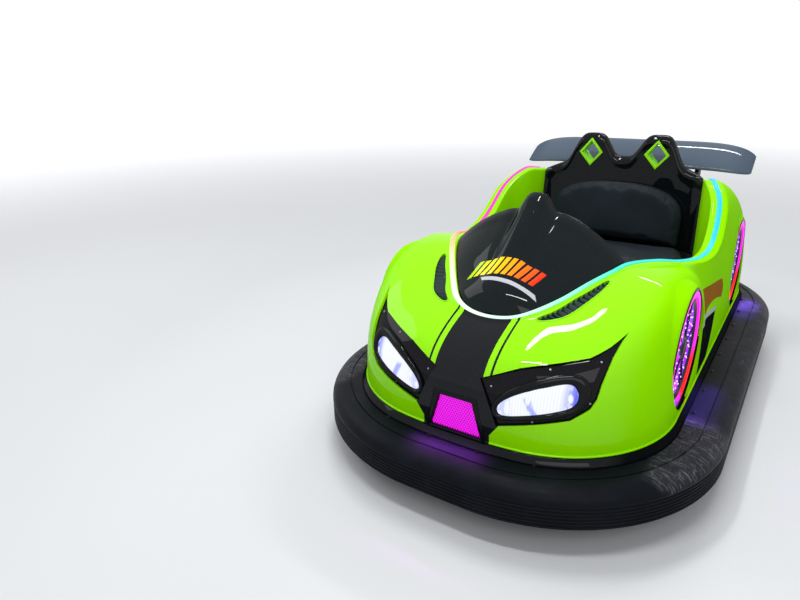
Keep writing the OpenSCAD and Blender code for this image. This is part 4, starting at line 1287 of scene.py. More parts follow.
@dataclass
class Body:
    """The moulded body with its openings, vents, skirt and light strip."""

    wall: float = 7.0
    per_step: int = 3
    side_steps: int = 34
    disc_r: float = 164.3
    foot: Tuple[Pair, ...] = ((242.7, 525.7), (257.3, 525.7), (257.3, 590.3), (242.7, 590.3))
    vent_inner: Tuple[Pair, ...] = (
        (128, -700), (157, -662), (185, -610), (214, -566), (240, -518),
    )  # fmt: skip
    vent_outer: Tuple[Pair, ...] = (
        (146, -706), (190, -676), (220, -624), (243, -572), (253, -524),
    )  # fmt: skip
    louvres: int = 13
    louvre: Tuple[Pair, ...] = (
        (-0.02, 12.0), (0.012, 2.0), (0.024, 1.4), (0.03, 2.6), (0.0, 12.0), (-0.02, 12.0),
    )  # fmt: skip
    section: Tuple[Pair, ...] = (
        (14.0, 184.3), (16.6, 184.6), (17.0, 186.0), (16.6, 190.0), (14.0, 194.0),
        (7.0, 200.0), (4.0, 203.2), (3.0, 204.0), (-12.0, 204.1), (-12.0, 184.3),
        (14.0, 184.3),
    )  # fmt: skip
    strip_w: float = 15
    strip_h: float = 4
    strip_seat: float = 0.95  # height of its foot over the rim's middle line
    strip_end: int = 39
    skirt_steps: int = 40

    def shell(self) -> None:
        """The body, with the openings for what is set into it."""
        item = Bench.grid("Body_shell", SKIN.ring(self.per_step, self.side_steps))
        Bench.thicken(item, self.wall)
        tools = []
        for side in Side:
            for y in LAMP_Y.values():
                place = Vector((side.value * SKIN.half_width, y, LAMP_Z))
                turn = Matrix.Translation(place * MM)
                turn = turn @ Matrix.Rotation(QUARTER, 4, "Y")
                tools.append(Bench.prism("Disc_cut", circle(160, self.disc_r), turn, (-60, 60)))
            flip = Matrix.Scale(side.value, 4, (1, 0, 0))
            for name, outline, turn, depth in (
                ("Eye_cut", Eyes.opening, flip @ Eyes.plane(), Eyes.reach),
                ("Tail_cut", Tail.outline(0.3), flip @ Tail.plane(), (0, 160)),
                ("Vent_cut", self.vent_outline(), flip, (440, 640)),
                ("Foot_cut", self.foot, flip, (600, 720)),
            ):
                tools.append(Bench.prism(name, outline, turn, depth))
        Bench.cut(item, [*tools, Grille.cutter()])
        Bench.mark_outside(item)
        Bench.dress(item, BODY_GREEN, "car", ["body_shell"], 40)

    def vent_outline(self) -> np.ndarray:
        """Outline of the left vent in plan, smooth along both edges."""
        corners = list(self.vent_inner) + list(self.vent_outer)[::-1]
        return closed_curve(corners, 4)

    def in_vent(self, along: float, across: float, depth: float) -> np.ndarray:
        """Point within the left vent, sunk from the skin by a depth."""
        places = np.linspace(0, 1, len(self.vent_inner))
        a, b = (
            [np.interp(along, places, edge) for edge in zip(*side)]
            for side in (self.vent_inner, self.vent_outer)
        )
        return Cover.drop(*(a[k] * (1 - across) + b[k] * across for k in (0, 1)), depth)

    def vents(self) -> None:
        """A sunk pan, slanted louvres and a rolled lip for each hood vent."""
        wide, long = np.linspace(-0.2, 1.2, 7), np.linspace(0.0, 1.0, 25)
        pan = np.array([[self.in_vent(a, c, 13.0) for c in wide] for a in long])
        pan = Bench.grid("Vent_pan_left", pan)
        Bench.thicken(pan, 2, 0.0)
        blades = []
        for place in np.linspace(0.07, 0.93, self.louvres):
            rows = [
                [self.in_vent(place + shift, across, depth) for shift, depth in self.louvre]
                for across in np.linspace(0.0, 1.0, 6)
            ]
            blades.append(Bench.loft("Blade", np.array(rows)))
        blades = Bench.join(blades, "Vent_louvres_left")
        path = np.array([Cover.drop(x, y, -0.2) for x, y in self.vent_outline()])
        lip = Bench.tube("Vent_lip_left", path, 2.3, closed=True)
        for item, finish in ((pan, SATIN_BLACK), (blades, LOUVRE), (lip, LINING_GREEN)):
            Bench.dress_pair(item, finish, 40)

    def along_base(self, section: Sequence[Pair]) -> np.ndarray:
        """Points round the lower edge, each section's as distance outward and height."""
        rows = []
        for s in np.linspace(0, 5, self.skirt_steps * 5 + 1):
            base, out = SKIN.base(s), SKIN.outward(s)
            rows.append([(*(base + out * far), z) for far, z in section])
        return all_round(np.array(rows))

    def skirt(self) -> None:
        """Gloss black moulding between the bumper's flange and the body."""
        item = Bench.grid("Base_skirt", self.along_base(self.section))
        Bench.dress(item, GLOSS_BLACK, "car", ["base_skirt"], 50)

    def strip(self) -> None:
        """Light strip on the rim: a soft tube in a thin channel."""
        w, h = self.strip_w / 2, self.strip_h
        right = [(w, 0), (w, 1.0), (w * 0.9, 2.6), (w * 0.6, h * 0.94)]
        section = [(-w, 0), *right, (0, h), *((-across, up) for across, up in right[::-1])]
        rows = []
        for i in np.linspace(0, self.strip_end, self.strip_end * 5 + 1):
            rim, inward = SKIN.rim(i), SKIN.inward(i)
            z = rim[2] + self.strip_seat
            rows.append([(*(rim[:2] + inward * across), z + up) for across, up in section])
        half = np.array(rows)
        item = Bench.loft("Rim_light", np.concatenate([half[::-1], half[1:] * FLIP_X]))
        Bench.dress(item, STRIP, "car", ["rim_light"], 60)

    def lip(self) -> None:
        """Bead along the body's lower edge."""
        path = self.along_base([(0.8, SKIN.low + 3.2)])[:-1, 0]
        item = Bench.tube("Body_lip", path, 3.0, closed=True, sides=12)
        Bench.cut(item, [Grille.cutter()])
        Bench.dress(item, BODY_GREEN, "car", angle=60)

    def build(self) -> None:
        """Builds and dresses the body."""
        self.shell()
        self.lip()
        self.vents()
        self.skirt()
        self.strip()


@dataclass
class Bumper:
    """Rubber ring bumper with its ribs, shoulder, groove and bolted flange."""

    half_width: float = 580
    half_length: float = 1000
    corner: float = 500
    corner_steps: int = 48
    rib_count: int = 6
    rib_low: float = 88
    rib_high: float = 146
    flange_top: float = 184
    bolt_in: float = 98
    bolt_count: int = 34
    bolt: Tuple[float, float, Pair] = (4.5, 2.6, (6.5, 1.0))
    shoulder: float = 55
    inner: Tuple[Pair, ...] = (
        (134, 166), (60, 166), (60, 76.6), (59.4, 76), (15.5, 76), (13, 76.8), (0.8, 86.6), (0, 88),
    )  # fmt: skip
    rib: Tuple[Pair, ...] = (
        (0.1, 0), (0.26, 0.1), (0.33, 0.8), (0.4, 2.5), (0.5, 3.0), (0.76, 3.0), (0.88, 2.4),
        (0.96, 0.7),
    )  # fmt: skip
    flange: Tuple[Pair, ...] = (
        (55.3, 181), (55.8, 180), (59.2, 180), (59.7, 181), (60.2, 183.4), (61, 184), (133, 184),
        (134, 183), (134, 166),
    )  # fmt: skip

    def profile(self) -> np.ndarray:
        """Cross-section: distance inward from the outer face, and height."""
        pitch = (self.rib_high - self.rib_low) / self.rib_count
        points = list(self.inner)
        for k in range(self.rib_count):
            points += [(inset, self.rib_low + pitch * (k + rise)) for rise, inset in self.rib]
        rise = self.flange_top - self.rib_high
        for a in np.linspace(0.04, QUARTER, 15):
            points.append((self.shoulder * (1 - math.cos(a)), self.rib_high + rise * math.sin(a)))
        return np.array([*points, *self.flange], float)

    def outline(self, inset: float) -> np.ndarray:
        """Points of the rounded rectangle moved inward, ending where they start."""
        r = self.corner - inset
        cx, cy = self.half_width - self.corner, self.half_length - self.corner
        points = []
        for quarter, (sx, sy) in enumerate(((1, 1), (-1, 1), (-1, -1), (1, -1))):
            for a in np.linspace(0, QUARTER, self.corner_steps + 1) + quarter * QUARTER:
                points.append((sx * cx + r * math.cos(a), sy * cy + r * math.sin(a)))
        return np.array([*points, points[0]])

    def ring(self) -> None:
        """The rubber section all the way round."""
        columns = [[(x, y, z) for x, y in self.outline(inset)] for inset, z in self.profile()]
        item = Bench.grid("Bumper_ring", np.array(columns).transpose(1, 0, 2))
        Bench.dress(item, RUBBER, "car", ["bumper_ring"], 32)

    def bolts(self) -> None:
        """Button-head bolts on washers round the flange."""
        outline = self.outline(self.bolt_in)
        steps = np.linalg.norm(np.diff(outline, axis=0), axis=1)
        along = np.concatenate([[0], np.cumsum(steps)])
        places = (np.arange(self.bolt_count) + 0.5) / self.bolt_count * along[-1]
        xs, ys = (np.interp(places, along, outline[:, k]) * MM for k in (0, 1))
        spots = [Matrix.Translation((x, y, self.flange_top * MM)) for x, y in zip(xs, ys)]
        item = Bench.scatter(Bench.bolt("Flange_bolts", *self.bolt), spots)
        Bench.dress(item, BLACK_BOLT, "car", angle=40)

    def build(self) -> None:
        """Builds and dresses the bumper."""
        self.ring()
        self.bolts()


@dataclass
class Eyes:
    """Headlights: sunk black mouldings, raised rims and lit lenses."""

    reach: ClassVar[Pair] = (-65, 130)  # depths of the prisms that cut along the plane
    opening: ClassVar[Tuple[Pair, ...]] = (
        (-142, 56), (-95, 71), (-49, 86), (-3, 94), (42, 101), (111, 114), (134, 125),
        (158, 138), (182, 155), (207, 174), (186, 147), (165, 116), (150, 86), (136, 54),
        (125, 19), (110, -4), (66, -32), (-1, -45), (-102, -61),
    )  # fmt: skip
    bezel: ClassVar[Tuple[Pair, ...]] = (
        (-114, -9), (-101, -41), (-30, -39), (44, -27), (95, -1), (113, 31), (103, 65),
        (66, 79), (-12, 63), (-83, 29),
    )  # fmt: skip
    lens: ClassVar[Tuple[Pair, ...]] = (
        (-103, -14), (-92, -32), (-40, -28), (30, -14), (72, 2), (84, 28), (66, 54), (7, 44),
        (-49, 26), (-87, 6),
    )  # fmt: skip
    spots: Tuple[Pair, ...] = ((-118, 38), (20, 88), (138, 108), (112, 8), (-20, -44))
    sunk: float = 7.7
    back: float = 6.8
    high: float = 140
    centre: Pair = (-6, 10)
    around: int = 96
    rim: Tuple[Pair, ...] = (
        (0.0, 9.0), (0.0, 4.0), (0.03, 1.4), (0.12, -0.8), (0.26, -2.3), (0.42, -3.0),
        (0.58, -2.7), (0.74, -1.4), (0.86, 0.6), (0.95, 3.0), (1.0, 5.5), (1.0, 8.0),
    )  # fmt: skip

    @staticmethod
    def plane() -> Matrix:
        """Matrix of the left headlight's plane."""
        turn = Matrix.Rotation(math.radians(28), 4, "Z") @ Matrix.Rotation(math.radians(70), 4, "X")
        return Matrix.Translation((0.205, -0.842, 0.330)) @ turn

    def on_skin(self, place: Sequence[float], depth: float) -> np.ndarray:
        """Point of the skin under a place of the left headlight's plane, sunk by a depth."""
        return Cover.under(self.plane(), (*place, self.high), depth)

    def pod(self) -> Object:
        """Black moulding behind the opening."""
        sheet = SKIN.patch((1, 15), 60, 34, self.sunk)
        item = Bench.grid("Headlight_pod_left", sheet, close=False)
        Bench.face_from(item, (0.0, -0.4, 0.3))
        Bench.thicken(item, 5)
        tool = Bench.prism("Pod_shape", Bench.grown(self.opening, 9.0), self.plane(), self.reach)
        Bench.cut(item, [tool], "INTERSECT")
        return item

    def ring(self) -> Object:
        """Raised rim round the lens."""
        angles = np.linspace(0, 2 * math.pi, self.around + 1)
        outer = round_reach(closed_curve(self.bezel, 12), self.centre, angles)
        inner = round_reach(closed_curve(self.lens, 12), self.centre, angles)
        rows = []
        for a, b in zip(outer, inner):
            row = [self.on_skin(a * (1 - share) + b * share, depth) for share, depth in self.rim]
            rows.append(row + row[:1])
        return Bench.grid("Headlight_rim_left", np.array(rows))

    def glass(self) -> Object:
        """Lit lens, domed a little, in the rim."""
        angles = np.linspace(0, 2 * math.pi, self.around + 1)
        edge = round_reach(closed_curve(self.lens, 12), self.centre, angles)
        shares = (0.0, 0.2, 0.4, 0.6, 0.75, 0.87, 0.95, 0.99)
        front = [(share, 1.0 + 3.0 * share**4) for share in shares]
        rows = []
        for a in edge:
            row = []
            for share, depth in [*front, (shares[-1], self.back), (0.0, self.back)]:
                place = np.array(self.centre) * (1 - share) + a * share
                row.append(self.on_skin(place, depth))
            rows.append(row)
        return Bench.grid("Lens_left", np.array(rows))

    def screws(self) -> Object:
        """Small screws that hold the moulding."""
        spots = []
        for spot in self.spots:
            place, over = (self.on_skin(spot, depth) for depth in (self.sunk, self.sunk - 1))
            turn = Vector(over - place).to_track_quat("Z", "Y").to_matrix().to_4x4()
            spots.append(Matrix.Translation(Vector(place * MM)) @ turn)
        return Bench.scatter(Bench.bolt("Headlight_screws_left", 3.0, 1.4), spots)

    def build(self) -> None:
        """Builds and dresses both headlights."""
        for make, finish, node in (
            (self.pod, POD_BLACK, "headlight"),
            (self.ring, GLOSS_BLACK, ""),
            (self.glass, LENS, "lens"),
            (self.screws, ZINC, ""),
        ):
            Bench.dress_pair(make(), finish, 45, node)


@dataclass
class Grille:
    """Perforated light screen in its frame."""

    pitch: float = 7.4
    hole: float = 2.5
    low: ClassVar[Pair] = (73, 212)  # half width and height of the screen's lower edge
    high: ClassVar[Pair] = (46, 308)
    frame_low: Pair = (85.3, 205.3)
    frame_high: Pair = (59.8, 321.8)
    frame_y: float = -866
    screen_y: float = -879
    glow_y: float = -872.6
    play: float = -0.4
    cell_rows: int = 18
    cell_cols: int = 11

    @classmethod
    def outline(cls, grow: float) -> List[Pair]:
        """Outline of the screen, grown by a distance."""
        (low, z0), (high, z1) = cls.low, cls.high
        low, high, z0, z1 = low + grow, high + grow, z0 - grow, z1 + grow
        return [(-low, z0), (low, z0), (high, z1), (-high, z1)]

    @staticmethod
    def plane(y: float) -> Matrix:
        """Matrix whose z points forward from a place along the car."""
        return Matrix.Translation((0, y * MM, 0)) @ Matrix.Rotation(QUARTER, 4, "X")

    @classmethod
    def cutter(cls) -> Object:
        """Prism that opens the body for the frame."""
        return Bench.prism("Grille_cut", cls.outline(14.3), cls.plane(-842), (0, 120))

    def frame(self) -> None:
        """Black surround with rounded edges."""
        (low, z0), (high, z1) = self.frame_low, self.frame_high
        outer = [(-low, z0), (low, z0), (high, z1), (-high, z1)]
        item = Bench.prism("Grille_frame", outer, self.plane(self.frame_y), (0.2, 23.8))
        hole = Bench.prism("Frame_hole", self.outline(0), self.plane(self.frame_y), (-10, 40))
        Bench.cut(item, [hole])
        Bench.bevel(item, 2.8, 3)
        Bench.dress(item, GLOSS_BLACK, "car", ["grille_frame"], 35)

    def cell(self) -> Object:
        """One six-sided cell of the screen, with its round hole."""
        sixth = math.pi / 3
        rows = []
        for a in np.append(circle_angles(12), 0.0):
            reach = self.pitch / 2 / math.cos(a - sixth * round(a / sixth))
            rows.append([(r * math.cos(a), r * math.sin(a), 0) for r in (reach, self.hole)])
        return Bench.grid("Grille_screen", np.array(rows))

    def screen(self) -> None:
        """Perforated sheet, and the glowing plate behind it."""
        one = self.cell()
        spots = []
        for row in range(self.cell_rows):
            z = self.low[1] - 4 + row * self.pitch * math.sqrt(0.75)
            half = 80 - 27 * (z - 212) / 96
            for col in range(-self.cell_cols, self.cell_cols + 1):
                x = (col + 0.5 * (row % 2)) * self.pitch
                if abs(x) < half:
                    place = Matrix.Translation((x * MM, z * MM, 0))
                    spots.append(self.plane(self.screen_y) @ place)
        item = Bench.scatter(one, spots)
        Bench.weld(item)
        Bench.modify(item, "SOLIDIFY", thickness=1.2 * MM, offset=-1.0)
        edge = self.outline(self.play)
        tool = Bench.prism("Screen_shape", edge, self.plane(self.screen_y), (-6, 6))
        Bench.cut(item, [tool], "INTERSECT")
        Bench.dress(item, MAGENTA, "car", ["grille_screen"], 30)
        plate = Bench.prism("Grille_glow", edge, self.plane(self.glow_y), (0, 1.6))
        Bench.bevel(plate, 0.4)
        Bench.dress(plate, GLOW, "car", angle=30)

    def build(self) -> None:
        """Builds and dresses the grille."""
        self.frame()
        self.screen()


@dataclass
class Discs:
    """Round side lamps: black dish, light ring and rows of small lights."""

    radius: float = 164
    face_x: float = 440
    depth: float = 26
    rows: Tuple[Tuple[float, int], ...] = ((60, 10), (77, 14), (94, 18), (111, 22))
    row_turn: float = 0.13
    dot_r: float = 2.3
    dot_z: float = 16.8
    arms: int = 5
    arm_ends: Pair = (26, 128)
    flare_r: float = 188
    flare_ends: Pair = (-8, 208)
    dish: Tuple[Pair, ...] = (
        (0, 0), (164, 0), (164, 26.5), (163.2, 29), (161.8, 30), (160.2, 29.6), (159, 27.8),
        (158.6, 18.4), (139.6, 18.4), (139.2, 21.5), (138, 23), (135.5, 22.8), (130, 17.5),
        (124, 16), (40, 17.6), (32, 19.5), (27, 23.2), (22, 24.2), (8, 24.6), (0, 24.8),
    )  # fmt: skip
    ring: Tuple[Pair, ...] = (
        (140.2, 18.7), (158, 18.7), (158, 25.6), (156.6, 27.6), (153, 28.6), (145, 28.6),
        (141.6, 27.6), (140.2, 25.4),
    )  # fmt: skip

    def frame(self, side: Side, end: End) -> Matrix:
        """Matrix of a lamp's dish, z outward from its back."""
        x = side.value * (self.face_x - self.depth) * MM
        turn = Matrix.Rotation(side.value * QUARTER, 4, "Y")
        return Matrix.Translation((x, LAMP_Y[end] * MM, LAMP_Z * MM)) @ turn

    def spokes(self, name: str) -> Object:
        """Raised twin arms that part the rows of lights."""
        a, b = self.arm_ends
        bars = []
        for angle in circle_angles(self.arms):
            turn = Matrix.Rotation(QUARTER + angle, 4, "Z")
            for shift in (-7, 7):
                far = shift * 1.9
                outline = [(a, shift - 1.4), (b, far - 0.9), (b, far + 0.9), (a, shift + 1.4)]
                bars.append(Bench.prism("Arm", outline, turn, (15.6, 20)))
                Bench.bevel(bars[-1], 1)
        return Bench.join(bars, name)

    def dots(self, name: str) -> Object:
        """Small lights in rings, where no arm stands."""
        spots = []
        for k, (radius, count) in enumerate(self.rows):
            for a in circle_angles(count) + self.row_turn * k:
                place = Vector((radius * math.cos(a), radius * math.sin(a), self.dot_z))
                spots.append(Matrix.Translation(place * MM))
        return Bench.scatter(Bench.bolt(name, self.dot_r, 2.2), spots)

    @staticmethod
    def across(end: End, a: float, r: float) -> float:
        """Distance of the left skin from the middle, at an angle and radius round a lamp."""
        start = np.array([900.0, LAMP_Y[end] + r * math.cos(a), LAMP_Z + r * math.sin(a)])
        return float(Cover.hit(start, np.array([-1.0, 0.0, 0.0]))[0][0])

    def flare(self, end: End) -> Object:
        """Arch on the left of the body, which rises from its skin to a lamp's face."""
        rows = []
        near = self.radius + 3.0
        for a in np.linspace(*(math.radians(v) for v in self.flare_ends), 97):
            lift = max(self.face_x + 1 - self.across(end, a, near), -2.0)
            reach = (self.flare_r - near) * min(1.0, 0.3 + max(0.0, a - 0.4))
            top = self.across(end, a, near) + lift
            inner = ((0.6, 18), (0.6, 1.8), (1.2, 0.6), (2.0, 0.0))
            section = [(self.radius + out, top - down) for out, down in inner]
            for t in np.linspace(0, 1, 10):
                share = 1 - ease(t)
                r = near + reach * t
                section.append((r, self.across(end, a, r) + lift * share - 1.5 * (1 - share)))
            section += [(r, section[-1][1] - 3), section[0]]
            y, z = LAMP_Y[end], LAMP_Z
            rows.append([(x, y + r * math.cos(a), z + r * math.sin(a)) for r, x in section])
        return Bench.loft(f"Arch_{end.value}_left", np.array(rows))

    def build(self) -> None:
        """Builds and dresses the four lamps and the arches round them."""
        for end in End:
            left = self.flare(end)
            right = Bench.mirrored(left, f"Arch_{end.value}_right")
            for item in (left, right):
                Bench.mark_outside(item)
                Bench.dress(item, BODY_GREEN, "car", angle=50)
        for side in Side:
            for end in End:
                tail = f"{end.value}_{side.name.lower()}"
                turn = self.frame(side, end)
                pieces = (
                    (Bench.spin(f"Side_lamp_{tail}", self.dish, 128), DISH, [f"side_lamp_{tail}"]),
                    (Bench.spin(f"Ring_{tail}", self.ring, 128), RING, [f"ring_{tail}"]),
                    (self.spokes(f"Lamp_arms_{tail}"), SATIN_BLACK, []),
                    (self.dots(f"Lamp_dots_{tail}"), DOTS, []),
                )
                for item, finish, nodes in pieces:
                    item.data.transform(turn)
                    item.visible_diffuse = finish is not RING
                    Bench.face_out(item)
                    Bench.dress(item, finish, "car", nodes, 40)


@dataclass
class Cowl:
    """Black hood over the instruments, with its ridge and two lobes."""

    last: float = 18
    thickness: float = 7
    ridge_h: float = 46
    ridge_w: float = 44
    crown_h: float = 122
    crease: float = 3.2
    ridge_from: float = 0.35
    fold: Pair = (56, 11)  # place across of the crease and its half width
    lobe: Pair = (84, 24)
    rows: int = 86
    cols: int = 97

    def edge(self, i: float) -> np.ndarray:
        """Point of the hood's edge beside a column of the body."""
        rim = SKIN.rim(i)
        reach = SKIN.straight(i, "roll") * 0.56 + 0.6
        return np.array([*(rim[:2] + SKIN.inward(i) * reach), rim[2]])

    def point(self, i: float, s: float) -> np.ndarray:
        """Point of the hood's top at a column of the body and a share of the width."""
        t = i / self.last
        edge = self.edge(i)
        x = edge[0] * s
        crown = self.crown_h * t**1.15 * (1 - abs(s) ** 2.2)
        rise = ease((t - self.ridge_from) / (1 - self.ridge_from))
        ridge = self.ridge_h * rise * math.exp(-((x / self.ridge_w) ** 4))
        fold, lobe = (max(0.0, 1 - abs(abs(x) - at) / w) for at, w in (self.fold, self.lobe))
        fold -= 0.6 * lobe
        return np.array([x, edge[1], edge[2] + crown + ridge - self.crease * rise * fold])

    def hood(self) -> None:
        """The hood itself."""
        places = np.linspace(1, self.last, self.rows)
        even = np.linspace(-1, 1, self.cols)
        shares = 0.5 * np.sin(even * QUARTER) + 0.5 * even
        sheet = np.array([[self.point(i, s) for s in shares] for i in places])
        item = Bench.grid("Cowl", sheet, close=False)
        Bench.face_from(item, (0.0, -0.4, 0.0))
        Bench.thicken(item, self.thickness)
        Bench.dress(item, COWL_BLACK, "car", ["cowl"], 50)

    def lip(self) -> None:
        """Rolled rear edge."""
        shares = np.linspace(-0.99, 0.99, 81)
        path = np.array([self.point(self.last, s) for s in shares]) - np.array([0, 0.5, 3.4])
        item = Bench.tube("Cowl_lip", path, 3.6)
        Bench.dress(item, GLOSS_BLACK, "car", angle=60)

    def build(self) -> None:
        """Builds and dresses the hood."""
        self.hood()
        self.lip()


@dataclass
class Seat:
    """Seat shell with its headrests, and the linings of their windows."""

    half_w: float = 296
    thickness: float = 62
    lean: float = 0.13
    front_y: float = 372
    low: float = 400.3
    flange: float = 400
    base_z: float = 734
    fall: float = 60
    top_z: float = 817
    rest_w: float = 74
    rest_x: float = 124
    diamond: Pair = (92, 108)
    lining: float = 11
    thins_from: float = 220  # outside this the shell thins, and its face turns back
    turns_from: float = 256

    def height(self, x: float) -> float:
        """Height of the shell's top edge."""
        base = self.base_z - self.fall * (abs(x) / self.half_w) ** 2.4
        return base + (self.top_z - base) * math.exp(-(((abs(x) - self.rest_x) / self.rest_w) ** 4))

    def front(self, x: float, z: float) -> float:
        """Place of the front face."""
        wing = max(0, abs(x) - self.turns_from) / (self.half_w - self.turns_from)
        return self.front_y + self.lean * (z - self.flange) - 12 * wing**2

    def depth(self, x: float) -> float:
        """Thickness at a place across the shell."""
        side = max(0, abs(x) - self.thins_from) / (self.half_w - self.thins_from)
        return self.thickness * (1 - 0.55 * side**2)

    def loop(self, x: float) -> List[Place]:
        """Section of the shell, from the front's foot over the top to the rear's foot."""
        h, r = self.height(x), self.depth(x) / 2
        top = h - r
        points = []
        for z in np.linspace(self.low, top, 26):
            points.append((x, self.front(x, z) + 3.5 * ease((h - z - 26) / 18), z))
        for a in np.linspace(0.14, math.pi - 0.14, 15):
            points.append((x, self.front(x, top) + r - r * math.cos(a), top + r * math.sin(a)))
        for z in np.linspace(top, self.low, 20):
            points.append((x, self.front(x, z) + 2 * r, z))
        return points + points[:1]

    def shell(self) -> None:
        """The shell, with the diamond windows."""
        rows = np.array([self.loop(x) for x in np.linspace(-self.half_w, self.half_w, 149)])
        item = Bench.loft("Bench_shell", rows)
        Bench.cut(item, [self.window(side, 0, (-110, 130)) for side in Side])
        Bench.dress(item, GLOSS_BLACK, "car", ["seat_shell"], 38)

    def window(self, side: Side, grow: float, depth: Pair) -> Object:
        """Prism over a diamond, z forward from the shell's front face."""
        w, h = (size / 2 + grow for size in self.diamond)
        y = self.front(self.rest_x, self.top_z - 70)
        middle = Vector((side.value * self.rest_x, y, self.top_z - 17 - self.diamond[1] / 2))
        turn = Matrix.Translation(middle * MM) @ Matrix.Rotation(QUARTER, 4, "X")
        return Bench.prism("Window", [(0, -h), (w, 0), (0, h), (-w, 0)], turn, depth)

    def linings(self) -> None:
        """Green linings of the windows, a little proud of the shell."""
        items = []
        for side in Side:
            item = self.window(side, -0.3, (-self.thickness - 1.8, 1.8))
            Bench.cut(item, [self.window(side, -self.lining - 0.3, (-120, 60))])
            Bench.bevel(item, 1.2)
            items.append(item)
        item = Bench.join(items, "Headrest_linings")
        Bench.dress(item, LINING_GREEN, "car", ["headrest_linings"], 30)

    def beads(self) -> None:
        """Soft beads that close the shell's sides to the body."""
        heights = np.linspace(self.low + 6, self.height(self.half_w) - 12, 40)
        path = np.array([(self.half_w + 1.5, self.front(self.half_w, z) + 8, z) for z in heights])
        Bench.dress_pair(Bench.tube("Bench_bead_left", path, 6.0, sides=14), SATIN_BLACK, 60)

    def build(self) -> None:
        """Builds and dresses the shell."""
        self.shell()
        self.linings()
        self.beads()


@dataclass
class Cushions:
    """Padded seat and back, blown up as cloth from slightly smaller blocks."""

    seat_z: float = 380.3
    seat_t: float = 58
    seat_y: Pair = (24, 306)
    seat_half: float = 318
    seat_front_half: float = 280
    back_t: float = 50
    back_half: float = 255
    back_low: float = 100
    back_crown: float = 142
    back_proud: float = 3
    voxel: float = 0.006
    pressure: float = 4.0
    cap: float = 0.011
    frames: int = 20
    seam: Pair = (0.005, 0.004)  # half width and depth of the sewn channel
    fill: float = 0.9

    def puff(self, item: Object) -> None:
        """Rounds and remeshes a block and lets pressure swell it, each point up to a cap."""
        Bench.bevel(item, 12, 3)
        Bench.modify(item, "REMESH", mode="VOXEL", voxel_size=self.voxel)
        start = Bench.points(item)
        Bench.take(item)
        cloth = item.modifiers.new("Cloth", "CLOTH")
        cloth.settings.use_pressure = True
        cloth.settings.uniform_pressure_force = self.pressure
        cloth.settings.quality = 5
        cloth.settings.effector_weights.gravity = 0
        cloth.point_cache.frame_start = 1
        cloth.point_cache.frame_end = self.frames
        for frame in range(1, self.frames + 1):
            bpy.context.scene.frame_set(frame)
        bpy.ops.object.modifier_apply(modifier=cloth.name)
        bpy.context.scene.frame_set(1)
        moved = Bench.points(item) - start
        far = np.linalg.norm(moved, axis=1, keepdims=True)
        moved *= np.minimum(1, self.cap / np.maximum(far, 1e-9))
        Bench.set_points(item, start + moved)

    def seat(self) -> None:
        """Bench cushion, sewn down the middle and kept flat where it lies on its board."""
        y0, y1 = self.seat_y
        half, front, wide_y = self.seat_half, self.seat_front_half, y0 + 148
        left = [(half, y0 + 8), (half, wide_y), (front, y1 - 6)]
        outline = [(-half, y0 + 8), *left, (-front, y1 - 6), (-half, wide_y)]
        turn = Matrix.Translation((0, 0, self.seat_z * MM))
        item = Bench.prism("Bench_cushion", outline, turn, (6, self.seat_t - 8))
        self.puff(item)
        Bench.modify(item, "SUBSURF", levels=1, render_levels=1)
        points, (width, depth) = Bench.points(item), self.seam
        points -= Bench.normals(item) * (depth * np.exp(-((points[:, 0] / width) ** 2)))[:, None]
        points[:, 2] = np.maximum(points[:, 2], self.seat_z * MM)
        Bench.set_points(item, points)
        self.finish(item, "seat_cushion")

    def finish(self, item: Object, node: str) -> None:
        """Dresses a pad."""
        Bench.dress(item, VINYL, "car", [node], None)

    def back_plane(self) -> Matrix:
        """Plane of the back cushion: x across, y up, z forward from the shell."""
        z = self.seat_z - 0.3 + 30
        y = Seat.front_y + Seat.lean * (z - Seat.flange) - 0.6
        lean = QUARTER - math.atan(Seat.lean)
        return Matrix.Translation((0, y * MM, z * MM)) @ Matrix.Rotation(lean, 4, "X")

    def back_outline(self, inset: float) -> np.ndarray:
        """Outline of the back cushion, with an arched top."""
        half, crown = self.back_half + self.back_proud, self.back_crown + self.back_proud
        points = [(-half, inset), (half, inset)]
        for a in np.linspace(0, math.pi, 37):
            c, s = (math.copysign(abs(v) ** 0.8, v) for v in (math.cos(a), math.sin(a)))
            points.append((half * c, self.back_low + crown * s))
        return np.array(points)

    def back(self) -> None:
        """Back cushion."""
        depth = (4, self.back_t - 9)
        item = Bench.prism("Back_cushion", self.back_outline(8), self.back_plane(), depth)
        self.puff(item)
        Bench.modify(item, "SUBSURF", levels=1, render_levels=1)
        self.finish(item, "back_cushion")

    def build(self) -> None:
        """Builds and dresses the pads."""
        self.seat()
        self.back()


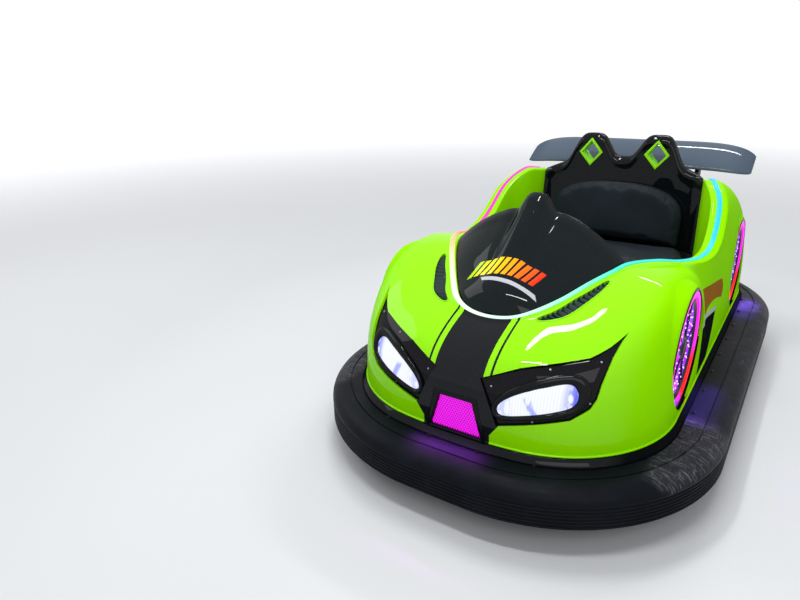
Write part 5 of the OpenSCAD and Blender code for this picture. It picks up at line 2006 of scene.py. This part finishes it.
@dataclass
class Wing:
    """Rear wing with turned-down tips, on two struts."""

    length: float = 868
    chord: float = 165
    thickness: float = 38
    y: float = 583
    z: float = 732
    tilt: float = 30
    tip_drop: float = 26

    def section(self, x: float) -> List[Place]:
        """Section of the wing at a place across."""
        u = min(abs(x) / (self.length / 2), 1)
        k = math.sqrt(max(0.02, 1 - u**8))
        middle_z = self.z - self.tip_drop * u**6
        c, s = math.cos(math.radians(self.tilt)), math.sin(math.radians(self.tilt))
        points = []
        for a in np.linspace(0, 2 * math.pi, 49):
            along = math.cos(a) * self.chord / 2 * (0.55 + 0.45 * k)
            up = math.sin(a) * self.thickness / 2 * k
            points.append((x, self.y + along * c - up * s, middle_z + along * s + up * c))
        return points

    def build(self) -> None:
        """Builds and dresses the wing and its struts."""
        places = self.length / 2 * np.sin(np.linspace(-1, 1, 141) * QUARTER)
        item = Bench.loft("Rear_wing", np.array([self.section(x) for x in places]))
        Bench.dress(item, SLATE, "car", ["rear_wing"], 40)
        struts = Bench.node_copy("wing_struts", "Wing_struts")
        Bench.bevel(struts, 2)
        Bench.dress(struts, GLOSS_BLACK, "car", ["wing_struts"], 35)


@dataclass
class Tail:
    """Tail lamps, which follow the body's skin."""

    half: ClassVar[float] = 60
    radius: ClassVar[float] = 18
    high: float = 160
    section: Tuple[Pair, ...] = (
        (0.0, -3), (0.5, -3), (0.86, -2.8), (0.96, -1.8), (1.0, -0.3), (1.0, 6.9), (0.0, 6.9),
    )  # fmt: skip

    @staticmethod
    def plane() -> Matrix:
        """Matrix of the left tail lamp, z rearward."""
        turn = Matrix.Rotation(math.radians(-24), 4, "Z")
        turn = turn @ Matrix.Rotation(math.radians(-80), 4, "X")
        return Matrix.Translation((0.25, 0.78, 0.37)) @ turn

    @classmethod
    def outline(cls, grow: float) -> List[Pair]:
        """Outline of a lamp, a bar with round ends."""
        r = cls.radius + grow
        arc = np.linspace(-QUARTER, QUARTER, 17)
        right = [(cls.half + r * math.cos(a), r * math.sin(a)) for a in arc]
        return right + [(-x, -y) for x, y in right]

    def build(self) -> None:
        """Builds and dresses both lamps."""
        edge = self.outline(0)
        rows = [
            [
                Cover.under(self.plane(), (u * share, v * share, self.high), depth)
                for share, depth in self.section
            ]
            for u, v in [*edge, edge[0]]
        ]
        left = Bench.grid("Tail_lamps", np.array(rows))
        right = Bench.mirrored(left, "Tail_right")
        item = Bench.join([left, right], "Tail_lamps")
        Bench.dress(item, TAIL_RED, "car", ["tail_lamps"], 40)


@dataclass
class Cockpit:
    """Steering wheel, column, dash, tub, mat and pedals."""

    wheel: Place = (0.0, -0.25, 0.545)
    wheel_r: float = 138
    grip_r: float = 13
    grips: int = 24
    spoke: Tuple[Pair, ...] = ((20, -17), (80, -13), (133, -15), (133, 15), (80, 13), (20, 17))
    hub: Tuple[Pair, ...] = (
        (0, -26), (34, -26), (39, -22), (40, -10), (37, -5), (30, -4), (0, -4),
    )  # fmt: skip
    shaft: Tuple[Pair, ...] = ((0, -381), (9, -381), (9, -26), (0, -26))
    cap: Tuple[Pair, ...] = ((0, -3.9), (26, -3.9), (25, -1.2), (21, 0.6), (0, 2.4))
    mat_ribs: int = 14
    mat_y: float = -296
    mat_pitch: float = 21

    def column_frame(self) -> Matrix:
        """Matrix whose z runs up the column from the wheel's centre."""
        return Matrix.Translation(self.wheel) @ Matrix.Rotation(math.radians(-56), 4, "X")

    def steering_wheel(self) -> None:
        """Rim with finger bumps, three spokes, hub and horn cap."""
        turn = self.column_frame()
        rows = []
        for a in np.linspace(0, 2 * math.pi, 145):
            r = self.grip_r * (1 - 0.035 * (1 + math.cos(self.grips * a)))
            row = []
            for b in np.linspace(0, 2 * math.pi, 17):
                far = self.wheel_r + r * math.cos(b)
                row.append((far * math.cos(a), far * math.sin(a), r * math.sin(b)))
            rows.append(row)
        rim = Bench.grid("Steering_wheel", np.array(rows))
        spokes = []
        for a in (-90, 30, 150):
            side = Matrix.Rotation(math.radians(a), 4, "Z")
            spokes.append(Bench.prism("Spoke", self.spoke, side, (-17.5, -10.5)))
            Bench.bevel(spokes[-1], 2)
        hub = Bench.spin("Hub", self.hub, 64)
        shaft = Bench.spin("Shaft", self.shaft, 32)
        item = Bench.join([rim, *spokes, hub, shaft], "Steering_wheel")
        item.data.transform(turn)
        Bench.face_out(item)
        Bench.dress(item, SATIN_BLACK, "steering", ["steering_wheel"], 40)
        cap = Bench.spin("Horn_cap", self.cap, 48)
        cap.data.transform(turn)
        Bench.face_out(cap)
        Bench.dress(cap, GLOSS_BLACK, "steering", angle=50)

    def mat(self) -> None:
        """Ribs of the rubber mat on the tub's floor."""
        ribs = []
        for k in range(self.mat_ribs):
            y = self.mat_y + k * self.mat_pitch
            outline = [(-190, y), (190, y), (190, y + 9), (-190, y + 9)]
            ribs.append(Bench.prism("Rib", outline, Matrix(), (174.4, 176.8)))
            Bench.bevel(ribs[-1], 1.1)
        Bench.dress(Bench.join(ribs, "Floor_mat_ribs"), TYRE, "car", angle=30)

    def soft_edges(self) -> None:
        """Copies of plain CAD mouldings with their edges rounded."""
        for node, finish, width in (
            ("dash_panel", SATIN_BLACK, 1.5),
            ("seat_board", SATIN_BLACK, 2),
            ("pedals", PEDAL, 2),
            ("batteries", BATTERY, 5),
            ("steering_column", FRAME_STEEL, 1),
        ):
            item = Bench.node_copy(node, node.capitalize())
            Bench.bevel(item, width, angle_limit=0.7)
            Bench.dress(item, finish, "car", [node], 35)

    def build(self) -> None:
        """Builds and dresses the cockpit."""
        self.steering_wheel()
        self.mat()
        self.soft_edges()


@dataclass
class Running:
    """Tyres with tread, and hubs with bolts."""

    drive: Place = (0.0, -0.6, 0.1)
    rear: Place = (0.32, 0.54, 0.09)
    drive_size: Place = (100, 52, 70)  # a tyre's radius, its width and its hub's radius
    rear_size: Place = (90, 46, 60)
    web: float = 8
    bolt: Tuple[float, float, Pair] = (4.5, 3.2, (6.5, 1.0))

    def tyre(self, name: str, size: Place, centre: Place) -> Object:
        """Solid tyre with two grooves round it and rounded shoulders."""
        r, w, hub_r = size
        h = w / 2
        profile = [
            (hub_r + 0.3, -h + 1), (hub_r + 4, -h), (r - 8, -h), (r - 3, -h + 2), (r, -h + 7),
            (r, -h * 0.42), (r - 3, -h * 0.38), (r - 3, -h * 0.26), (r, -h * 0.22),
        ]  # fmt: skip
        profile += [(far, -along) for far, along in reversed(profile)]
        item = Bench.spin(name, profile, 40)
        item.data.transform(Matrix.Translation(centre) @ Matrix.Rotation(QUARTER, 4, "Y"))
        Bench.face_out(item)
        return item

    def wheel(self, name: str, body: str, size: Place, centre: Place, reach: float) -> None:
        """A tyre, and five bolts round each face of its hub's web.

        Args:
            name: Name of the tyre, as its CAD node's with a capital.
            body: CAD body that it rides on.
            size: Its radius, its width and its hub's radius, in millimetres.
            centre: Its middle, in metres.
            reach: Radius of the bolts' circle, in millimetres.
        """
        Bench.dress(self.tyre(name, size, centre), TYRE, body, [name.lower()], 40)
        for sign, mark in ((-1, "a"), (1, "b")):
            base = Matrix.Translation(centre) @ Matrix.Rotation(sign * QUARTER, 4, "Y")
            places = [Vector((x, y, self.web)) * MM for x, y in circle(5, reach)]
            bolts = Bench.bolt(f"{name.replace('tyre', 'bolts')}_{mark}", *self.bolt)
            bolts = Bench.scatter(bolts, [base @ Matrix.Translation(place) for place in places])
            Bench.dress(bolts, ZINC, body, angle=40)

    def build(self) -> None:
        """Builds and dresses the running gear's details."""
        self.wheel("Drive_tyre", "drive_wheel", self.drive_size, self.drive, 46)
        for side in Side:
            name = side.name.lower()
            centre = (side.value * self.rear[0], *self.rear[1:])
            self.wheel(f"Rear_tyre_{name}", f"rear_wheel_{name}", self.rear_size, centre, 41)


@dataclass
class Rest:
    """CAD nodes whose shape is right, with the finish of each."""

    finishes: ClassVar[Dict[str, Finish]] = {
        "floor_plate": FRAME_STEEL,
        "cockpit_tub": SATIN_BLACK,
        "swivel_bridge": FRAME_STEEL,
        "rear_brackets": FRAME_STEEL,
        "drive_fork": FORK_STEEL,
        "drive_motor": MOTOR,
        "drive_hub": HUB,
        "rear_hub_left": HUB,
        "rear_hub_right": HUB,
    }

    def build(self) -> None:
        """Repaints the nodes."""
        for node, finish in self.finishes.items():
            Bench.repaint(node, finish)


@dataclass
class Studio:
    """Floor, light, background and camera."""

    focal_px: float = 620.9
    width_px: float = 800
    sensor: float = 36.0
    eye: Place = (0.667, -2.077, 1.090)
    azimuth: float = 34.76
    pitch: float = 20.81
    roll: float = -1.54
    floor_size: float = 400.0
    pale_from: float = 1.8  # distance from which the floor grows paler, and over how far
    pale_over: float = 6.0
    lamps_at: Tuple[Tuple[str, Place, Pair, float], ...] = (
        ("Tube_front", (0.3, -1.5, 3.0), (1.5, 0.11), 32),
        ("Tube_middle", (-0.5, -0.1, 3.1), (1.1, 0.12), 30),
        ("Tube_rear", (0.2, 1.9, 3.0), (1.5, 0.11), 28),
        ("Soft_front", (1.9, -3.0, 2.6), (2.4, 1.6), 34),
        ("Soft_side", (-2.8, -0.8, 2.4), (2.0, 1.4), 22),
    )
    spill: Tuple[Tuple[str, Place, float, Colour], ...] = (
        ("Spill_nose", (0.0, -0.93, 0.24), 0.0, (0.7, 0.08, 1.0)),
        ("Spill_front", (0.495, -0.36, 0.25), 90.0, (0.25, 0.08, 1.0)),
        ("Spill_rear", (0.495, 0.47, 0.25), 90.0, (0.25, 0.08, 1.0)),
    )
    spill_power: float = 0.65
    spill_size: Pair = (0.2, 0.02)
    spill_spread: float = 92

    def camera(self) -> None:
        """Camera at the photograph's place and angle."""
        a, t, r = (math.radians(v) for v in (self.azimuth, self.pitch, self.roll))
        ahead = Vector((-math.sin(a) * math.cos(t), math.cos(a) * math.cos(t), -math.sin(t)))
        right = Vector((math.cos(a), math.sin(a), 0))
        up = right.cross(ahead)
        c, s = math.cos(r), math.sin(r)
        right, up = right * c + up * s, up * c - right * s
        data = bpy.data.cameras.new("Camera")
        data.sensor_fit = "HORIZONTAL"
        data.sensor_width = self.sensor
        data.lens = self.focal_px * self.sensor / self.width_px
        data.clip_start = 0.02
        data.clip_end = 1000.0
        item = Bench.add("Camera", data)
        turn = Matrix((right, up, -ahead)).transposed()
        item.matrix_world = Matrix.Translation(self.eye) @ turn.to_4x4()
        bpy.context.scene.camera = item

    def floor(self) -> None:
        """Pale floor that keeps the car's shadow."""
        Bench.clear()
        bpy.ops.mesh.primitive_plane_add(size=self.floor_size, location=(0, 0, 0))
        item = bpy.context.object
        item.name = "Floor"
        item.data.materials.append(bpy.data.materials.new("Floor"))
        graph = Graph(item.data.materials[0])
        x, y, _z = graph.axes()
        far = graph.above(graph.math("SQRT", x * x + y * y), self.pale_from, self.pale_over)
        graph.surface(
            Base_Color=graph.mix((0.6, 0.61, 0.62), (0.64, 0.65, 0.66), graph.noise(0.8, 3.0)),
            Roughness=0.5,
            Emission_Color=graph.mix((0.0, 0.0, 0.0), (0.62, 0.62, 0.63), far),
            Emission_Strength=1.0,
        )

    def world(self) -> None:
        """White background for the camera, glass and gloss, and a soft light on the rest."""
        bpy.context.scene.world = bpy.data.worlds.new("World")
        graph = Graph(bpy.context.scene.world)
        camera, glass, gloss = (
            graph.node("ShaderNodeLightPath", out=f"Is {ray} Ray")
            for ray in ("Camera", "Transmission", "Glossy")
        )
        soft, white = (
            graph.node("ShaderNodeBackground", None, {"Color": colour, "Strength": strength})
            for colour, strength in (((0.92, 0.95, 1.0), 0.5), ((1.0, 1.0, 1.0), 1.0))
        )
        share = graph.most(graph.most(camera, glass), gloss)
        mixed = graph.node("ShaderNodeMixShader", None, {0: share, 1: soft, 2: white})
        graph.node("ShaderNodeOutputWorld", None, {"Surface": mixed}, out=None)

    @staticmethod
    def lamp(name: str, place: Place, size: Pair, power: float) -> Object:
        """Rectangular lamp at a place, shining down."""
        data = bpy.data.lights.new(name, "AREA")
        data.shape = "RECTANGLE"
        data.size, data.size_y = size
        data.energy = power
        item = Bench.add(name, data)
        item.location = place
        return item

    def lamps(self) -> None:
        """Long tubes overhead as in a hall, two soft panels, and the lamps' light on the flange."""
        for name, place, size, power in self.lamps_at:
            item = self.lamp(name, place, size, power)
            aim = Vector((0, -0.1, 0.3)) - Vector(place)
            item.rotation_euler = aim.to_track_quat("-Z", "Y").to_euler()
        for name, (x, y, z), turn, colour in self.spill:
            for side in (1, -1) if x else (1,):
                place = (x * side, y, z)
                title = f"{name}_{'ab'[side > 0]}"
                item = self.lamp(title, place, self.spill_size, self.spill_power)
                item.data.color = colour
                item.data.spread = math.radians(self.spill_spread)
                item.visible_glossy = False
                item.rotation_euler = (0, 0, math.radians(turn))

    def build(self) -> None:
        """Builds the studio."""
        bpy.context.scene.view_settings.view_transform = "Standard"
        self.camera()
        self.floor()
        self.world()
        self.lamps()


def main() -> None:
    """Loads the frame and builds the classes in order."""
    logging.basicConfig(level=logging.INFO, format="%(name)s: %(message)s")
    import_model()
    parts = (
        Studio(), Rest(), Body(), Bumper(), Eyes(), Grille(), Discs(), Cowl(), Seat(),
        Cushions(), Wing(), Tail(), Cockpit(), Running(),
    )  # fmt: skip
    for part in parts:
        log.info("building %s", type(part).__name__)
        part.build()


if __name__ == "__main__":
    main()
